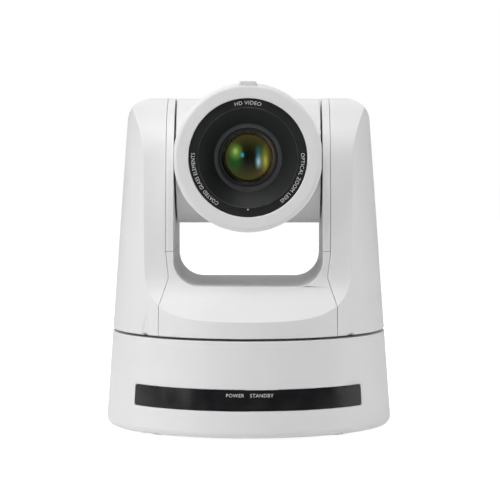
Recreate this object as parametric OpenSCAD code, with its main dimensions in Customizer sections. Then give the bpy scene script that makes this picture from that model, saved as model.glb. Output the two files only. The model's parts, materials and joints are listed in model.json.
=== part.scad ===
// Pan and tilt camera: a lens head hung in a two-armed yoke that turns on a conical base.
// The pan axis is Z, the front faces -Y and the table is z = 0. All sizes are in millimetres.

/* [Base] */
// Diameter of the outline at the table
base_d = 170; // [160:1:210]
// Lean of the outer cone from upright, in degrees
draft = 4.2; // [3:0.1:5]
// Height of the base's top deck
base_h = 56; // [52:1:68]
// Thickness of the plastic covers
wall = 2.4; // [1.8:0.1:2.8]
// Radius of the base's bottom edge
edge_r = 4; // [2:0.5:6]
// Height of the rubber feet
foot_h = 1.8; // [1.4:0.1:2.4]
// Radius of one rubber foot
foot_r = 8; // [6:0.5:10]
// Distance from the pan axis to each foot, along X and along Y
foot_at = 48; // [44:1:50]
// Thickness of the metal base plate
plate_t = 3; // [2:0.5:4]

/* [Front window] */
// Height of the window's lower edge
window_z = 17; // [14:0.5:20]
// Height of the window strip itself
window_h = 12; // [8:0.5:16]
// Half of the arc that the window spans, in degrees
window_half = 51.5; // [30:0.5:60]
// Thickness of the window
window_t = 1.4; // [1:0.1:1.6]

/* [Connector bay] */
// Width of the recess at the back
bay_w = 84; // [80:1:88]
// Height of the recess's lower edge
bay_z = 9; // [8:0.5:12]
// Height of the recess itself
bay_h = 40; // [36:1:42]
// Distance from the pan axis to the connector panel's face
panel_y = 68; // [66:0.5:70]
// Thickness of the connector panel
panel_t = 1.6; // [1:0.1:2]

/* [Underside] */
// Radius of the tripod thread
tripod_r = 3.18; // [3.18:0.01:4.76]
// Depth of the tripod thread
tripod_len = 10; // [8:0.5:11]
// Spacing of the four bracket holes
bracket_pitch = 50; // [44:1:52]
// Radius of a bracket hole
bracket_r = 1.65; // [1.25:0.05:2]
// Depth of a bracket hole
bracket_len = 7; // [5:0.5:8]

/* [Pan drive] */
// Bore of the hollow pan hub
hub_bore_r = 14; // [10:0.5:16]
// Outer radius of the hollow pan hub
hub_r = 22; // [19:0.5:23]
// Width of the pan bearing
pan_bearing_w = 7; // [6:0.5:8]
// Ball radius in the pan bearing
pan_ball_r = 2.4; // [2:0.1:2.6]
// Radius of the large pan pulley
pan_pulley_r = 38; // [34:0.5:40]
// Radius of the pan motor's pulley
pan_pinion_r = 7.6; // [6:0.1:9]
// Distance from the pan axis to the pan motor
pan_motor_at = 58; // [54:0.5:59]
// Side of the square pan motor
pan_motor_w = 28; // [20:1:30]
// Length of the pan motor
pan_motor_len = 24; // [16:1:26]

/* [Yoke] */
// Height of the tops of the arms
yoke_top = 193.5; // [188:0.5:215]
// Gap between the base and the yoke
seam = 1.4; // [1:0.1:2]
// Radius of the arm's rounded top, seen from the side
arm_r = 42.5; // [40:0.5:46]
// Lean of the arm's front and back, in degrees
arm_lean = 7.6; // [6:0.2:9]
// Height of the shelf at the foot of the arms
shelf_z = 66.8; // [64:0.2:72]
// Radius of the hollow between the arm and the shelf
cove_r = 32; // [24:1:36]
// Radius of the shoulder of the arm, seen from the front
shoulder_r = 16; // [10:0.5:18]
// Clear width between the arms
trough_w = 86; // [84:0.5:100]
// Height of the floor between the arms
trough_z = 85; // [80:0.5:88]
// Corner radius of the space between the arms
trough_r = 15; // [10:0.5:20]
// Height of the joint between the saddle and the inner panels
panel_z = 105; // [100:0.5:112]
// Gap along the joints between covers
part_gap = 0.2; // [0.1:0.05:0.4]

/* [Tilt drive] */
// Height of the tilt axis
tilt_z = 156.5; // [150:0.5:175]
// Radius of the tilt hub's shaft
tilt_hub_r = 9; // [7:0.5:10]
// Bore through the tilt hub
tilt_bore_r = 5; // [3:0.5:6]
// Width of the tilt bearings
tilt_bearing_w = 6; // [5:0.5:7]
// Ball radius in the tilt bearings
tilt_ball_r = 1.8; // [1.5:0.1:2]
// Radius of the large tilt pulley
tilt_pulley_r = 22; // [18:0.5:24]
// Radius of the tilt motor's pulley
tilt_pinion_r = 5.5; // [5:0.1:7]
// Side of the square tilt motor
tilt_motor_w = 19; // [14:0.5:19.5]
// Length of the tilt motor
tilt_motor_len = 28; // [20:1:36]

/* [Head] */
// Radius of the head's drum
drum_r = 36.8; // [35:0.1:40]
// Gap between the head and each arm
side_gap = 1; // [0.6:0.1:2]
// Radius of the round lens housing
housing_r = 42.5; // [40:0.1:44]
// Distance from the tilt axis to the housing's front face
housing_front = 62; // [58:0.5:64]
// Height of the lens axis above the tilt axis
lens_rise = 2.4; // [0:0.1:3]
// Radius of the opening in the housing's front face
face_r = 33.8; // [30:0.1:35]
// Radius of the front glass
glass_r = 15.5; // [12:0.1:17]
// Radius of the lens barrel
barrel_r = 27; // [24:0.5:28]
// Width of the tally lamp
tally_w = 9.6; // [6:0.2:14]
// Distance along the tilt axis's normal to the joint between the head's covers
head_split = 14; // [12:0.5:16]
// Travel of the zoom group
zoom_travel = 16; // [8:0.5:18]
// Travel of the focus group either way
focus_travel = 4; // [2:0.5:5]

/* [Fits] */
// Radial clearance of a running fit
run_gap = 0.06; // [0.03:0.01:0.1]
// Clearance round a part that passes through a cover
pass_gap = 1; // [0.6:0.1:1.5]
// Clearance round a connector in the connector panel
slot_gap = 0.2; // [0.1:0.05:0.4]

/* [Hidden] */
$fn = 96;

// Overshoot of a cutter past the face that it cuts
eps = 1;
// Overlap of two outlines that meet tangentially
lap = 0.01;
// Thickness of a circuit board and of a pressed metal plate
board_t = 1.6;
sheet_t = 2.5;
// Screws: M3 shank and head
screw_r = 1.5;
screw_head_r = 2.8;
screw_head_h = 1.6;

// Base, from the table up
cover_z = foot_h - 0.8;
plate_z = foot_h;
plate_top = plate_z + plate_t;
deck_z = base_h - wall;
boss_r = 3.5;
boss_at = base_d / 2 - 13;
boss_angles = [30, 150, 210, 330];
board_z = plate_top + 8.4;
indicator_y = -base_d / 2 + 11;
indicator_w = 44;

// Connectors: the board behind the panel, its gap, the length of a connector from it, two rows,
// and X of each
io_depth = 12;
io_y = panel_y - panel_t - io_depth;
io_gap = 1;
reach = io_depth + panel_t;
row_z = bay_z + 13;
sdi_x = 29;
hdmi_x = 10;
network_x = -10;
control_x = -29;
upper_z = row_z + 15;
dc_x = 29;
usb_x = 12;
audio_x = -4;

// Places the children at every opening of the panel: [x, z, width, height], round where height is 0.
openings = [
    [sdi_x, row_z, 13, 0], [hdmi_x, row_z, 15.4, 6], [network_x, row_z, 16, 14],
    [control_x, row_z, 13, 0], [dc_x, upper_z, 10, 0], [usb_x, upper_z, 9.4, 3.6],
    [audio_x, upper_z, 8, 0]
];

// Pan drive, from the deck down
chassis_t = 3;
pulley_w = 6.4;
pulley_z = deck_z - 2 - pulley_w;
chassis_z = pulley_z - 1.2 - chassis_t;
pan_bearing_z = chassis_z + chassis_t - pan_bearing_w;
pan_bearing_r = hub_r + 12;
chassis_r = pan_bearing_r + 16;
pan_pitch_r = hub_r + 6;
seat_t = 3;
hub_flange_r = hub_r + 8;
hub_flange_t = 3;
post_r = 4;
post_at = 34;
belt_t = 1.4;
belt_w = 6;

// Yoke, from the seam up
yoke_z = base_h + seam;
hub_top = yoke_z + wall + 0.2;
frame_z = hub_top;
frame_top = frame_z + sheet_t;
arm_z = yoke_top - arm_r;
trough_x = trough_w / 2;
middle_low_x = trough_x + 8;
middle_waist_x = trough_x + wall + 0.2;
middle_x = trough_x + wall + 2;
taper_z = 74;
waist_z = 90;

// Tilt drive, outward along X
head_x = trough_x - side_gap;
upright_x = trough_x + wall + 4.6;
upright_w = 40;
bearing_x = upright_x;
tilt_pitch_r = tilt_hub_r + 3.5;
tilt_bearing_r = tilt_hub_r + 7;
tilt_pulley_x = bearing_x + tilt_bearing_w + 2;
tilt_motor_z = (frame_top + trough_z - wall) / 2;
tilt_flange_t = 1.4;
hub_flange_x = head_x - wall - 0.2 - tilt_flange_t;
hub_screw_r = 1;
hub_screw_at = tilt_hub_r + 2.4;

// Head
lens_z = tilt_z + lens_rise;
name_ring_t = 1.5;
name_ring_y = housing_front - 1.2;
name_ring_r = 28.5;
lens_ring_r = glass_r + 4;
lens_ring_in = glass_r + 0.6;
baffle_depth = 12;
glass_y = name_ring_y - name_ring_t - baffle_depth;
barrel_back = -14;
barrel_t = 2;
rod_r = 1.5;
rod_x = barrel_r - barrel_t - rod_r - 1.6;
rod_front = glass_y - 10 - barrel_t;
rod_back = barrel_back + barrel_t;
group_w = 6;
zoom_at = rod_front - group_w - 1 - zoom_travel;
focus_at = rod_back + 1.5 + focus_travel;

function cone_r(z) = base_d / 2 - z * tan(draft);
function along(r, a) = [r * cos(a), r * sin(a)];

// ---------- shared shapes ----------

module tube(r_out, r_in, h) {
    difference() {
        cylinder(r = r_out, h = h);
        translate([0, 0, -eps]) cylinder(r = r_in, h = h + 2 * eps);
    }
}

module block(x, y, z) {
    translate([x[0], y[0], z[0]]) cube([x[1] - x[0], y[1] - y[0], z[1] - z[0]]);
}

// Children built along +Z point outward along the tilt axis, on the side given.
module on_tilt_axis(side = 1) {
    translate([0, 0, tilt_z]) rotate([0, side * 90, 0]) children();
}

// Children built along +Z point forward along the lens axis.
module on_lens_axis() {
    translate([0, 0, lens_z]) rotate([90, 0, 0]) children();
}

// Extrudes a front-view outline (X, Z) through the whole depth.
module through_depth() {
    rotate([90, 0, 0]) linear_extrude(height = 3 * base_d, center = true) children();
}

// Extrudes a side-view outline (Y, Z) through the whole width.
module through_width() {
    rotate([90, 0, 90]) linear_extrude(height = 3 * base_d, center = true) children();
}

// Half section of the outer cone between two heights, with rounded edges and an inset.
module cone_section(z0, z1, r0, r1, inset = 0) {
    inner = inset / cos(draft);
    c0 = [cone_r(z0 + r0) - inner - r0 / cos(draft), z0 + r0];
    c1 = [cone_r(z1 - r1) - inner - r1 / cos(draft), z1 - r1];
    translate(c0) circle(r = r0);
    translate(c1) circle(r = r1);
    polygon([
        [0, z0], [c0[0], z0],
        c0 + along(r0, draft), c1 + along(r1, draft),
        [c1[0], z1], [0, z1]
    ]);
}

// Half section of the yoke's outer cone, with a bevelled lower edge and an inset.
module yoke_section(z0, bevel, inset) {
    inner = inset / cos(draft);
    z1 = yoke_top + eps;
    polygon([
        [0, z0], [cone_r(z0) - inner - bevel, z0], [cone_r(z0 + bevel) - inner, z0 + bevel],
        [cone_r(z1) - inner, z1], [0, z1]
    ]);
}

// Side view of the yoke: two leaning flanks under a round top, with a hollow down to the shelf.
module yoke_side(inset = 0) {
    r = arm_r - inset;
    shelf = shelf_z - inset;
    flank = along(r, arm_lean);
    cove_z = shelf_z + cove_r;
    cove_y = (arm_r + (arm_z - cove_z) * sin(arm_lean) + cove_r) / cos(arm_lean);
    foot = [cove_y, cove_z] - along(cove_r + inset, arm_lean);
    translate([0, arm_z]) circle(r = r + lap);
    difference() {
        polygon([
            [base_d, 0], [base_d, shelf], [cove_y, shelf], foot,
            [flank[0], arm_z + flank[1]], [-flank[0], arm_z + flank[1]],
            [-foot[0], foot[1]], [-cove_y, shelf], [-base_d, shelf], [-base_d, 0]
        ]);
        for (s = [-1, 1]) translate([s * cove_y, cove_z]) circle(r = cove_r + inset + lap);
    }
}

// Front view of the yoke: straight sides under two round shoulders.
module yoke_front(inset = 0) {
    z = yoke_top - shoulder_r;
    x = cone_r(z) - shoulder_r;
    r = shoulder_r - inset;
    translate([-base_d / 2, 0]) square([base_d, z]);
    translate([-x, 0]) square([2 * x, z + r]);
    for (s = [-1, 1]) translate([s * x, z]) circle(r = r);
}

// Front view of the space between the arms.
module trough(inset = 0) {
    w = trough_x + inset;
    r = trough_r + inset;
    z = trough_z - inset;
    translate([-w, z + r]) square([2 * w, yoke_top]);
    translate([-w + r, z]) square([2 * (w - r), r + eps]);
    for (s = [-1, 1]) translate([s * (w - r), z + r]) circle(r = r);
}

module yoke_solid(z0, bevel, inset = 0) {
    difference() {
        intersection() {
            rotate_extrude() yoke_section(z0, bevel, inset);
            through_width() yoke_side(inset);
            through_depth() yoke_front(inset);
        }
        through_depth() trough(inset);
    }
}

module yoke_shell() {
    difference() {
        yoke_solid(yoke_z, 0.5);
        yoke_solid(yoke_z - eps, 0.1, wall);
    }
}

// Front view of the yoke's middle, between the joints of the two arm covers.
module middle_outline(gap = 0) {
    polygon([
        [middle_low_x + gap, 0], [middle_low_x + gap, taper_z],
        [middle_waist_x + gap, waist_z], [middle_x + gap, panel_z],
        [middle_x + gap, 2 * yoke_top], [-middle_x - gap, 2 * yoke_top],
        [-middle_x - gap, panel_z], [-middle_waist_x - gap, waist_z],
        [-middle_low_x - gap, taper_z], [-middle_low_x - gap, 0]
    ]);
}

module bearing_outer(r_out, pitch, w, ball_r) {
    difference() {
        tube(r_out, pitch + ball_r / 3, w);
        translate([0, 0, w / 2]) rotate_extrude() translate([pitch, 0]) circle(r = ball_r + run_gap);
    }
}

module bearing_inner(pitch, r_in, w, ball_r) {
    difference() {
        tube(pitch - ball_r / 3, r_in, w);
        translate([0, 0, w / 2]) rotate_extrude() translate([pitch, 0]) circle(r = ball_r + run_gap);
    }
}

module bearing_balls(pitch, w, ball_r, count) {
    for (i = [0 : count - 1])
        rotate([0, 0, i * 360 / count]) translate([pitch, 0, w / 2]) sphere(r = ball_r);
}

// Toothed pulley with flanges left off, so that the belt can be slid on.
module pulley(r, r_in, w, teeth) {
    difference() {
        tube(r, r_in, w);
        for (i = [0 : teeth - 1])
            rotate([0, 0, i * 360 / teeth])
                translate([r, 0, -eps]) cylinder(r = 0.7, h = w + 2 * eps, $fn = 6);
    }
}

// Outline round two pulleys, the second one at a distance along X.
module belt_outline(r1, r2, distance) {
    a = acos((r1 - r2) / distance);
    circle(r = r1 + lap);
    translate([distance, 0]) circle(r = r2 + lap);
    polygon([
        along(r1, a), along(r1, -a),
        [distance, 0] + along(r2, -a), [distance, 0] + along(r2, a)
    ]);
}

module belt(r1, r2, distance) {
    linear_extrude(height = belt_w)
        difference() {
            belt_outline(r1 + run_gap + belt_t, r2 + run_gap + belt_t, distance);
            belt_outline(r1 + run_gap, r2 + run_gap, distance);
        }
}

module screw(length) {
    cylinder(r = screw_r, h = length);
    difference() {
        translate([0, 0, -screw_head_h]) cylinder(r = screw_head_r, h = screw_head_h);
        translate([0, 0, -screw_head_h - eps]) cylinder(r = 1.3, h = 1 + eps, $fn = 6);
    }
}

// ---------- base ----------

module bay_solid(grow, front_y) {
    block([-bay_w / 2 - grow, bay_w / 2 + grow], [front_y, base_d], [bay_z - grow, bay_z + bay_h + grow]);
}

module window_arc(half, r_grow, z0, z1, depth) {
    rotate([0, 0, -90 - half])
        rotate_extrude(angle = 2 * half)
            polygon([
                [cone_r(z0) - depth, z0], [cone_r(z0) + r_grow, z0],
                [cone_r(z1) + r_grow, z1], [cone_r(z1) - depth, z1]
            ]);
}

module base_cover() {
    color("white")
        difference() {
            union() {
                difference() {
                    rotate_extrude() cone_section(cover_z, base_h, edge_r, 0.6);
                    rotate_extrude() cone_section(cover_z - eps, deck_z, 0.4, 0.4, wall);
                }
                intersection() {
                    rotate_extrude() cone_section(cover_z, base_h, edge_r, 0.6);
                    bay_solid(wall, panel_y - panel_t);
                }
                for (a = boss_angles)
                    rotate([0, 0, a]) translate([boss_at, 0, plate_top]) cylinder(r = boss_r, h = deck_z - plate_top + 0.5);
            }
            bay_solid(0, panel_y - panel_t - eps);
            translate([0, 0, deck_z - eps]) cylinder(r = hub_r + pass_gap, h = wall + 2 * eps);
            window_arc(window_half, eps, window_z, window_z + window_h, window_t + 0.2);
            window_arc(window_half / 3, eps, window_z + 2, window_z + window_h - 2, wall + eps);
            for (a = boss_angles)
                rotate([0, 0, a]) translate([boss_at, 0, plate_top - eps]) cylinder(r = screw_r, h = 11 + eps);
        }
}

module base_plate() {
    color("silver")
        difference() {
            union() {
                translate([0, 0, plate_z])
                    cylinder(r = cone_r(plate_top) - (wall + 0.2) / cos(draft), h = plate_t);
                translate([0, 0, plate_z]) cylinder(r = 11, h = plate_t + 5);
                for (x = [-1, 1], y = [-1, 1])
                    translate([x * bracket_pitch / 2, y * bracket_pitch / 2, plate_z])
                        cylinder(r = bracket_r + 2.5, h = bracket_len + 1);
            }
            translate([0, 0, plate_z - eps]) cylinder(r = tripod_r + 3, h = plate_t + 5 + 2 * eps);
            for (x = [-1, 1], y = [-1, 1])
                translate([x * bracket_pitch / 2, y * bracket_pitch / 2, plate_z - eps])
                    cylinder(r = bracket_r, h = bracket_len + eps);
            for (a = boss_angles)
                rotate([0, 0, a]) translate([boss_at, 0, plate_z - eps]) {
                    cylinder(r = screw_r, h = plate_t + 2 * eps);
                    cylinder(r = screw_head_r + 0.2, h = screw_head_h + eps);
                }
        }
}

module rubber_feet() {
    color("dimgray")
        for (x = [-1, 1], y = [-1, 1])
            translate([x * foot_at, y * foot_at, 0]) cylinder(r = foot_r, h = foot_h);
}

module tripod_bush() {
    color("goldenrod")
        translate([0, 0, plate_z])
            difference() {
                cylinder(r = tripod_r + 3, h = tripod_len + 2);
                translate([0, 0, -eps]) cylinder(r = tripod_r, h = tripod_len + eps);
            }
}

module base_screws() {
    color("gray")
        for (a = boss_angles)
            rotate([0, 0, a]) translate([boss_at, 0, plate_z + screw_head_h]) screw(10);
}

module status_window() {
    color("black")
        intersection() {
            window_arc(window_half - 0.15, -0.15, window_z + 0.15, window_z + window_h - 0.15, window_t);
            cylinder(r = base_d, h = base_h);
        }
}

module indicator_board() {
    color("green")
        block([-indicator_w / 2, indicator_w / 2], [indicator_y, indicator_y + board_t],
              [plate_top, window_z + window_h + 2]);
}

module indicator_leds() {
    color("lightgreen")
        for (x = [-8, 8])
            translate([x, indicator_y, window_z + window_h / 2]) rotate([90, 0, 0]) {
                cylinder(r = 1.5, h = 2);
                translate([0, 0, 2]) sphere(r = 1.5);
            }
}

module ir_receiver() {
    color("black")
        translate([0, indicator_y, window_z + window_h / 2]) rotate([90, 0, 0]) {
            translate([-3, -3.5, 0]) cube([6, 7, 2]);
            translate([0, 0, 2]) cylinder(r = 2.2, h = 1);
        }
}

// Connectors, each built along +Z out of the panel; the board end is at z = 0.
module on_panel(x, z) {
    translate([x, io_y, z]) rotate([-90, 0, 0]) children();
}

module opening_shape(width, height, grow = 0) {
    if (height == 0) circle(r = width / 2 + grow);
    else square([width + 2 * grow, height + 2 * grow], center = true);
}

module connector_body(i) {
    o = openings[i];
    linear_extrude(height = reach) opening_shape(o[2], o[3]);
}

module connector_panel() {
    color("whitesmoke")
        difference() {
            block([-bay_w / 2, bay_w / 2], [panel_y - panel_t, panel_y], [bay_z, bay_z + bay_h]);
            for (o = openings)
                on_panel(o[0], o[1]) linear_extrude(height = reach + eps) opening_shape(o[2], o[3], slot_gap);
        }
}

module io_board() {
    color("green")
        block([-bay_w / 2 + 2, bay_w / 2 - 2], [io_y - board_t, io_y], [plate_top, bay_z + bay_h - 6]);
}

module sdi_socket() {
    color("silver")
        on_panel(sdi_x, row_z) {
            difference() {
                union() {
                    connector_body(0);
                    cylinder(r = 4.85, h = reach + 9.5);
                    for (s = [-1, 1])
                        translate([s * 4.6, 0, reach + 6]) rotate([0, s * 90, 0]) cylinder(r = 1, h = 1.4);
                }
                translate([0, 0, reach]) cylinder(r = 3.5, h = 9.5 + eps);
            }
            cylinder(r = 0.7, h = reach + 6);
        }
}

module hdmi_socket() {
    color("silver")
        on_panel(hdmi_x, row_z) {
            difference() {
                connector_body(1);
                translate([-7, -2.3, 1.6]) cube([14, 4.6, reach]);
            }
            translate([-5.5, -0.1, 1]) cube([11, 0.9, reach - 3]);
        }
}

module network_socket() {
    color("silver")
        on_panel(network_x, row_z)
            difference() {
                connector_body(2);
                translate([-5.9, -3.4, 1.6]) cube([11.8, 8, reach]);
                translate([-3, -5.6, 1.6]) cube([6, 3, reach]);
            }
}

module control_socket() {
    color("dimgray")
        on_panel(control_x, row_z) {
            difference() {
                union() {
                    connector_body(3);
                    cylinder(r = 6.5, h = reach + 1);
                }
                translate([0, 0, reach - 6]) cylinder(r = 4.6, h = 8);
            }
            for (i = [0 : 5])
                rotate([0, 0, i * 60 + 30]) translate([2.6, 0, reach - 7]) cylinder(r = 0.4, h = 6);
        }
}

module dc_inlet() {
    color("dimgray")
        on_panel(dc_x, upper_z) {
            difference() {
                connector_body(4);
                translate([0, 0, reach - 9.5]) cylinder(r = 2.75, h = 10.5);
            }
            translate([0, 0, reach - 10]) cylinder(r = 1, h = 9);
        }
}

module usb_socket() {
    color("silver")
        on_panel(usb_x, upper_z) {
            difference() {
                connector_body(5);
                translate([-4.2, -1.3, 1.6]) cube([8.4, 2.6, reach]);
            }
            translate([-3.3, -0.35, 1]) cube([6.6, 0.7, reach - 3]);
        }
}

module audio_socket() {
    color("dimgray")
        on_panel(audio_x, upper_z)
            difference() {
                connector_body(6);
                translate([0, 0, reach - 12]) cylinder(r = 1.8, h = 13);
            }
}

module main_board() {
    color("green")
        difference() {
            block([-46, 46], [14, io_y - board_t - 1], [board_z, board_z + board_t]);
            for (x = [-1, 1])
                translate([x * post_at, post_at, 0]) cylinder(r = post_r, h = base_h);
        }
    color("silver")
        block([-12, 12], [26, 46], [board_z + board_t, board_z + board_t + 5]);
    color("silver")
        for (x = [-1, 1])
            translate([x * 42, 18, plate_top]) cylinder(r = 2.5, h = board_z - plate_top);
}

module base_chassis() {
    motor_gap = 0.4;
    color("silver")
        difference() {
            union() {
                translate([0, 0, chassis_z]) cylinder(r = chassis_r, h = chassis_t);
                block([-pan_motor_at - pan_motor_w / 2, 0], [-pan_motor_w / 2, pan_motor_w / 2],
                      [chassis_z, chassis_z + chassis_t]);
                translate([0, 0, pan_bearing_z - 1.5])
                    cylinder(r = pan_bearing_r + seat_t, h = pan_bearing_w + 1.5);
                for (x = [-1, 1], y = [-1, 1])
                    translate([x * post_at, y * post_at, plate_top])
                        cylinder(r = post_r, h = chassis_z - plate_top + eps);
            }
            translate([0, 0, pan_bearing_z]) cylinder(r = pan_bearing_r, h = pan_bearing_w + eps);
            translate([0, 0, pan_bearing_z - 1.5 - eps])
                cylinder(r = pan_bearing_r - 3, h = 1.5 + 2 * eps);
            translate([-pan_motor_at, 0, chassis_z - eps])
                cylinder(r = 3 + motor_gap, h = chassis_t + 2 * eps);
            // The board behind the panel stays clear of the plate
            block([-bay_w / 2, bay_w / 2], [io_y - board_t - io_gap, panel_y],
                  [chassis_z - eps, chassis_z + chassis_t + eps]);
        }
}

module pan_bearing_outer() {
    color("lightgray")
        translate([0, 0, pan_bearing_z])
            bearing_outer(pan_bearing_r, pan_pitch_r, pan_bearing_w, pan_ball_r);
}

module pan_bearing_balls() {
    color("gainsboro")
        translate([0, 0, pan_bearing_z]) bearing_balls(pan_pitch_r, pan_bearing_w, pan_ball_r, 24);
}

module pan_bearing_inner() {
    color("lightgray")
        translate([0, 0, pan_bearing_z])
            bearing_inner(pan_pitch_r, hub_r, pan_bearing_w, pan_ball_r);
}

module pan_motor() {
    color("dimgray")
        translate([-pan_motor_at, 0, chassis_z - pan_motor_len]) {
            translate([-pan_motor_w / 2, -pan_motor_w / 2, 0])
                cube([pan_motor_w, pan_motor_w, pan_motor_len]);
            cylinder(r = 3, h = pan_motor_len + 1);
        }
}

module pan_motor_pulley() {
    color("silver")
        translate([-pan_motor_at, 0, 0]) {
            translate([0, 0, pulley_z])
                pulley(pan_pinion_r, 1, pulley_w, 20);
            translate([0, 0, chassis_z + 1.3]) cylinder(r = 2.2, h = pulley_z + pulley_w - chassis_z - 1.3);
        }
}

module pan_belt() {
    color("black")
        translate([0, 0, pulley_z + 0.2])
            rotate([0, 0, 180]) belt(pan_pulley_r, pan_pinion_r, pan_motor_at);
}

// ---------- yoke ----------

module pan_hub() {
    low = pan_bearing_z - 2;
    color("silver")
        difference() {
            union() {
                translate([0, 0, low]) cylinder(r = hub_r, h = hub_top - low);
                translate([0, 0, low]) cylinder(r = hub_r + 2, h = 2);
                translate([0, 0, hub_top - hub_flange_t]) cylinder(r = hub_flange_r, h = hub_flange_t);
            }
            translate([0, 0, low - eps]) cylinder(r = hub_bore_r, h = hub_top - low + 2 * eps);
        }
}

module pan_pulley() {
    spacer_z = pan_bearing_z + pan_bearing_w;
    color("dimgray") {
        translate([0, 0, pulley_z]) pulley(pan_pulley_r, hub_r, pulley_w, 100);
        translate([0, 0, spacer_z]) tube(hub_r + 3, hub_r, pulley_z - spacer_z);
    }
}

module upright_outline() {
    translate([-upright_w / 2, frame_z]) square([upright_w, tilt_z - frame_z]);
    translate([0, tilt_z]) circle(r = upright_w / 2);
}

module yoke_frame() {
    floor_x = upright_x + sheet_t;
    color("silver")
        difference() {
            union() {
                block([-floor_x, floor_x], [-upright_w / 2, upright_w / 2], [frame_z, frame_top]);
                for (s = [-1, 1])
                    translate([s > 0 ? upright_x : -upright_x - sheet_t, 0, 0])
                        rotate([90, 0, 90]) linear_extrude(height = sheet_t) upright_outline();
                for (s = [-1, 1])
                    on_tilt_axis(s) translate([0, 0, upright_x]) cylinder(r = tilt_bearing_r + 2, h = tilt_bearing_w);
            }
            translate([0, 0, frame_z - eps]) cylinder(r = hub_bore_r, h = sheet_t + 2 * eps);
            for (s = [-1, 1])
                on_tilt_axis(s) translate([0, 0, upright_x - eps])
                    cylinder(r = tilt_bearing_r, h = tilt_bearing_w + 2 * eps);
            translate([-upright_x - sheet_t - eps, 0, tilt_motor_z]) rotate([0, 90, 0])
                cylinder(r = tilt_pinion_r + belt_t + 1, h = sheet_t + 2 * eps);
            translate([upright_x - eps, 0, frame_top + 12]) rotate([0, 90, 0])
                cylinder(r = 5, h = sheet_t + 2 * eps);
            for (x = [-1, 1], y = [-1, 1])
                translate([x * 18, y * 18, frame_z - eps]) cylinder(r = screw_r, h = sheet_t + 2 * eps);
        }
}

module yoke_tray() {
    color("white")
        translate([0, 0, yoke_z])
            difference() {
                cylinder(r = cone_r(yoke_z + wall) - (wall + 0.2) / cos(draft), h = wall + 0.2);
                translate([0, 0, -eps]) cylinder(r = hub_flange_r, h = wall + 0.2 + 2 * eps);
            }
}

module saddle_cover() {
    color("white")
        intersection() {
            yoke_shell();
            through_depth() intersection() {
                middle_outline(-part_gap / 2);
                translate([-base_d / 2, 0]) square([base_d, panel_z - part_gap / 2]);
            }
        }
}

module arm_cover(side) {
    notch_angle = 47;
    color("white")
        difference() {
            intersection() {
                yoke_shell();
                block([min(0, side * base_d), max(0, side * base_d)], [-base_d, base_d], [0, yoke_top + eps]);
            }
            through_depth() middle_outline(part_gap / 2);
            rotate([0, 0, -90 + side * notch_angle])
                translate([base_d / 2 - 12, -2.3, yoke_z - eps]) cube([12, 4.6, 1.2 + eps]);
        }
}

module left_arm_cover() { arm_cover(-1); }

module right_arm_cover() { arm_cover(1); }

module inner_panel(side) {
    color("white")
        difference() {
            intersection() {
                yoke_shell();
                block([min(0, side * base_d), max(0, side * base_d)], [-base_d, base_d],
                      [panel_z + part_gap / 2, yoke_top + eps]);
                through_depth() middle_outline(-part_gap / 2);
            }
            on_tilt_axis(side) cylinder(r = tilt_hub_r + pass_gap, h = base_d);
        }
}

module left_inner_panel() { inner_panel(-1); }

module right_inner_panel() { inner_panel(1); }

module tilt_bearing_outers() {
    color("lightgray")
        for (s = [-1, 1])
            on_tilt_axis(s) translate([0, 0, bearing_x])
                bearing_outer(tilt_bearing_r, tilt_pitch_r, tilt_bearing_w, tilt_ball_r);
}

module tilt_bearing_balls() {
    color("gainsboro")
        for (s = [-1, 1])
            on_tilt_axis(s) translate([0, 0, bearing_x])
                bearing_balls(tilt_pitch_r, tilt_bearing_w, tilt_ball_r, 14);
}

module tilt_bearing_inners() {
    color("lightgray")
        for (s = [-1, 1])
            on_tilt_axis(s) translate([0, 0, bearing_x])
                bearing_inner(tilt_pitch_r, tilt_hub_r, tilt_bearing_w, tilt_ball_r);
}

module tilt_motor() {
    w = tilt_motor_w;
    color("dimgray")
        translate([-upright_x, 0, tilt_motor_z]) rotate([0, -90, 0]) {
            translate([-w / 2, -w / 2, -tilt_motor_len]) cube([w, w, tilt_motor_len]);
            cylinder(r = 2.5, h = sheet_t);
        }
}

module tilt_motor_pulley() {
    start = upright_x + sheet_t + 0.4;
    color("silver")
        translate([0, 0, tilt_motor_z]) rotate([0, -90, 0]) {
            translate([0, 0, tilt_pulley_x]) pulley(tilt_pinion_r, 1, pulley_w, 14);
            translate([0, 0, start]) cylinder(r = 1.8, h = tilt_pulley_x + pulley_w - start);
        }
}

module tilt_belt() {
    color("black")
        on_tilt_axis(-1)
            translate([0, 0, tilt_pulley_x + 0.2])
                rotate([0, 0, 180]) belt(tilt_pulley_r, tilt_pinion_r, tilt_z - tilt_motor_z);
}

module yoke_board() {
    x = upright_x + sheet_t + 3;
    color("green")
        block([x, x + board_t], [-18, 18], [frame_top + 20, tilt_z - 26]);
    color("silver")
        for (z = [frame_top + 26, tilt_z - 32])
            translate([upright_x + sheet_t, 0, z]) rotate([0, 90, 0]) cylinder(r = 2.5, h = 3);
}

module yoke_harness() {
    r = 2.5;
    z = frame_top + 12;
    color("dimgray") {
        translate([2, 0, z]) rotate([0, 90, 0]) cylinder(r = r, h = upright_x + 4);
        translate([2, 0, pan_bearing_z - 2]) cylinder(r = r, h = z - pan_bearing_z + 2);
        translate([2, 0, z]) sphere(r = r);
    }
}

module yoke_screws() {
    color("gray")
        for (x = [-1, 1], y = [-1, 1])
            translate([x * 18, y * 18, frame_top]) rotate([180, 0, 0]) screw(sheet_t);
}

// ---------- head ----------

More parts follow.
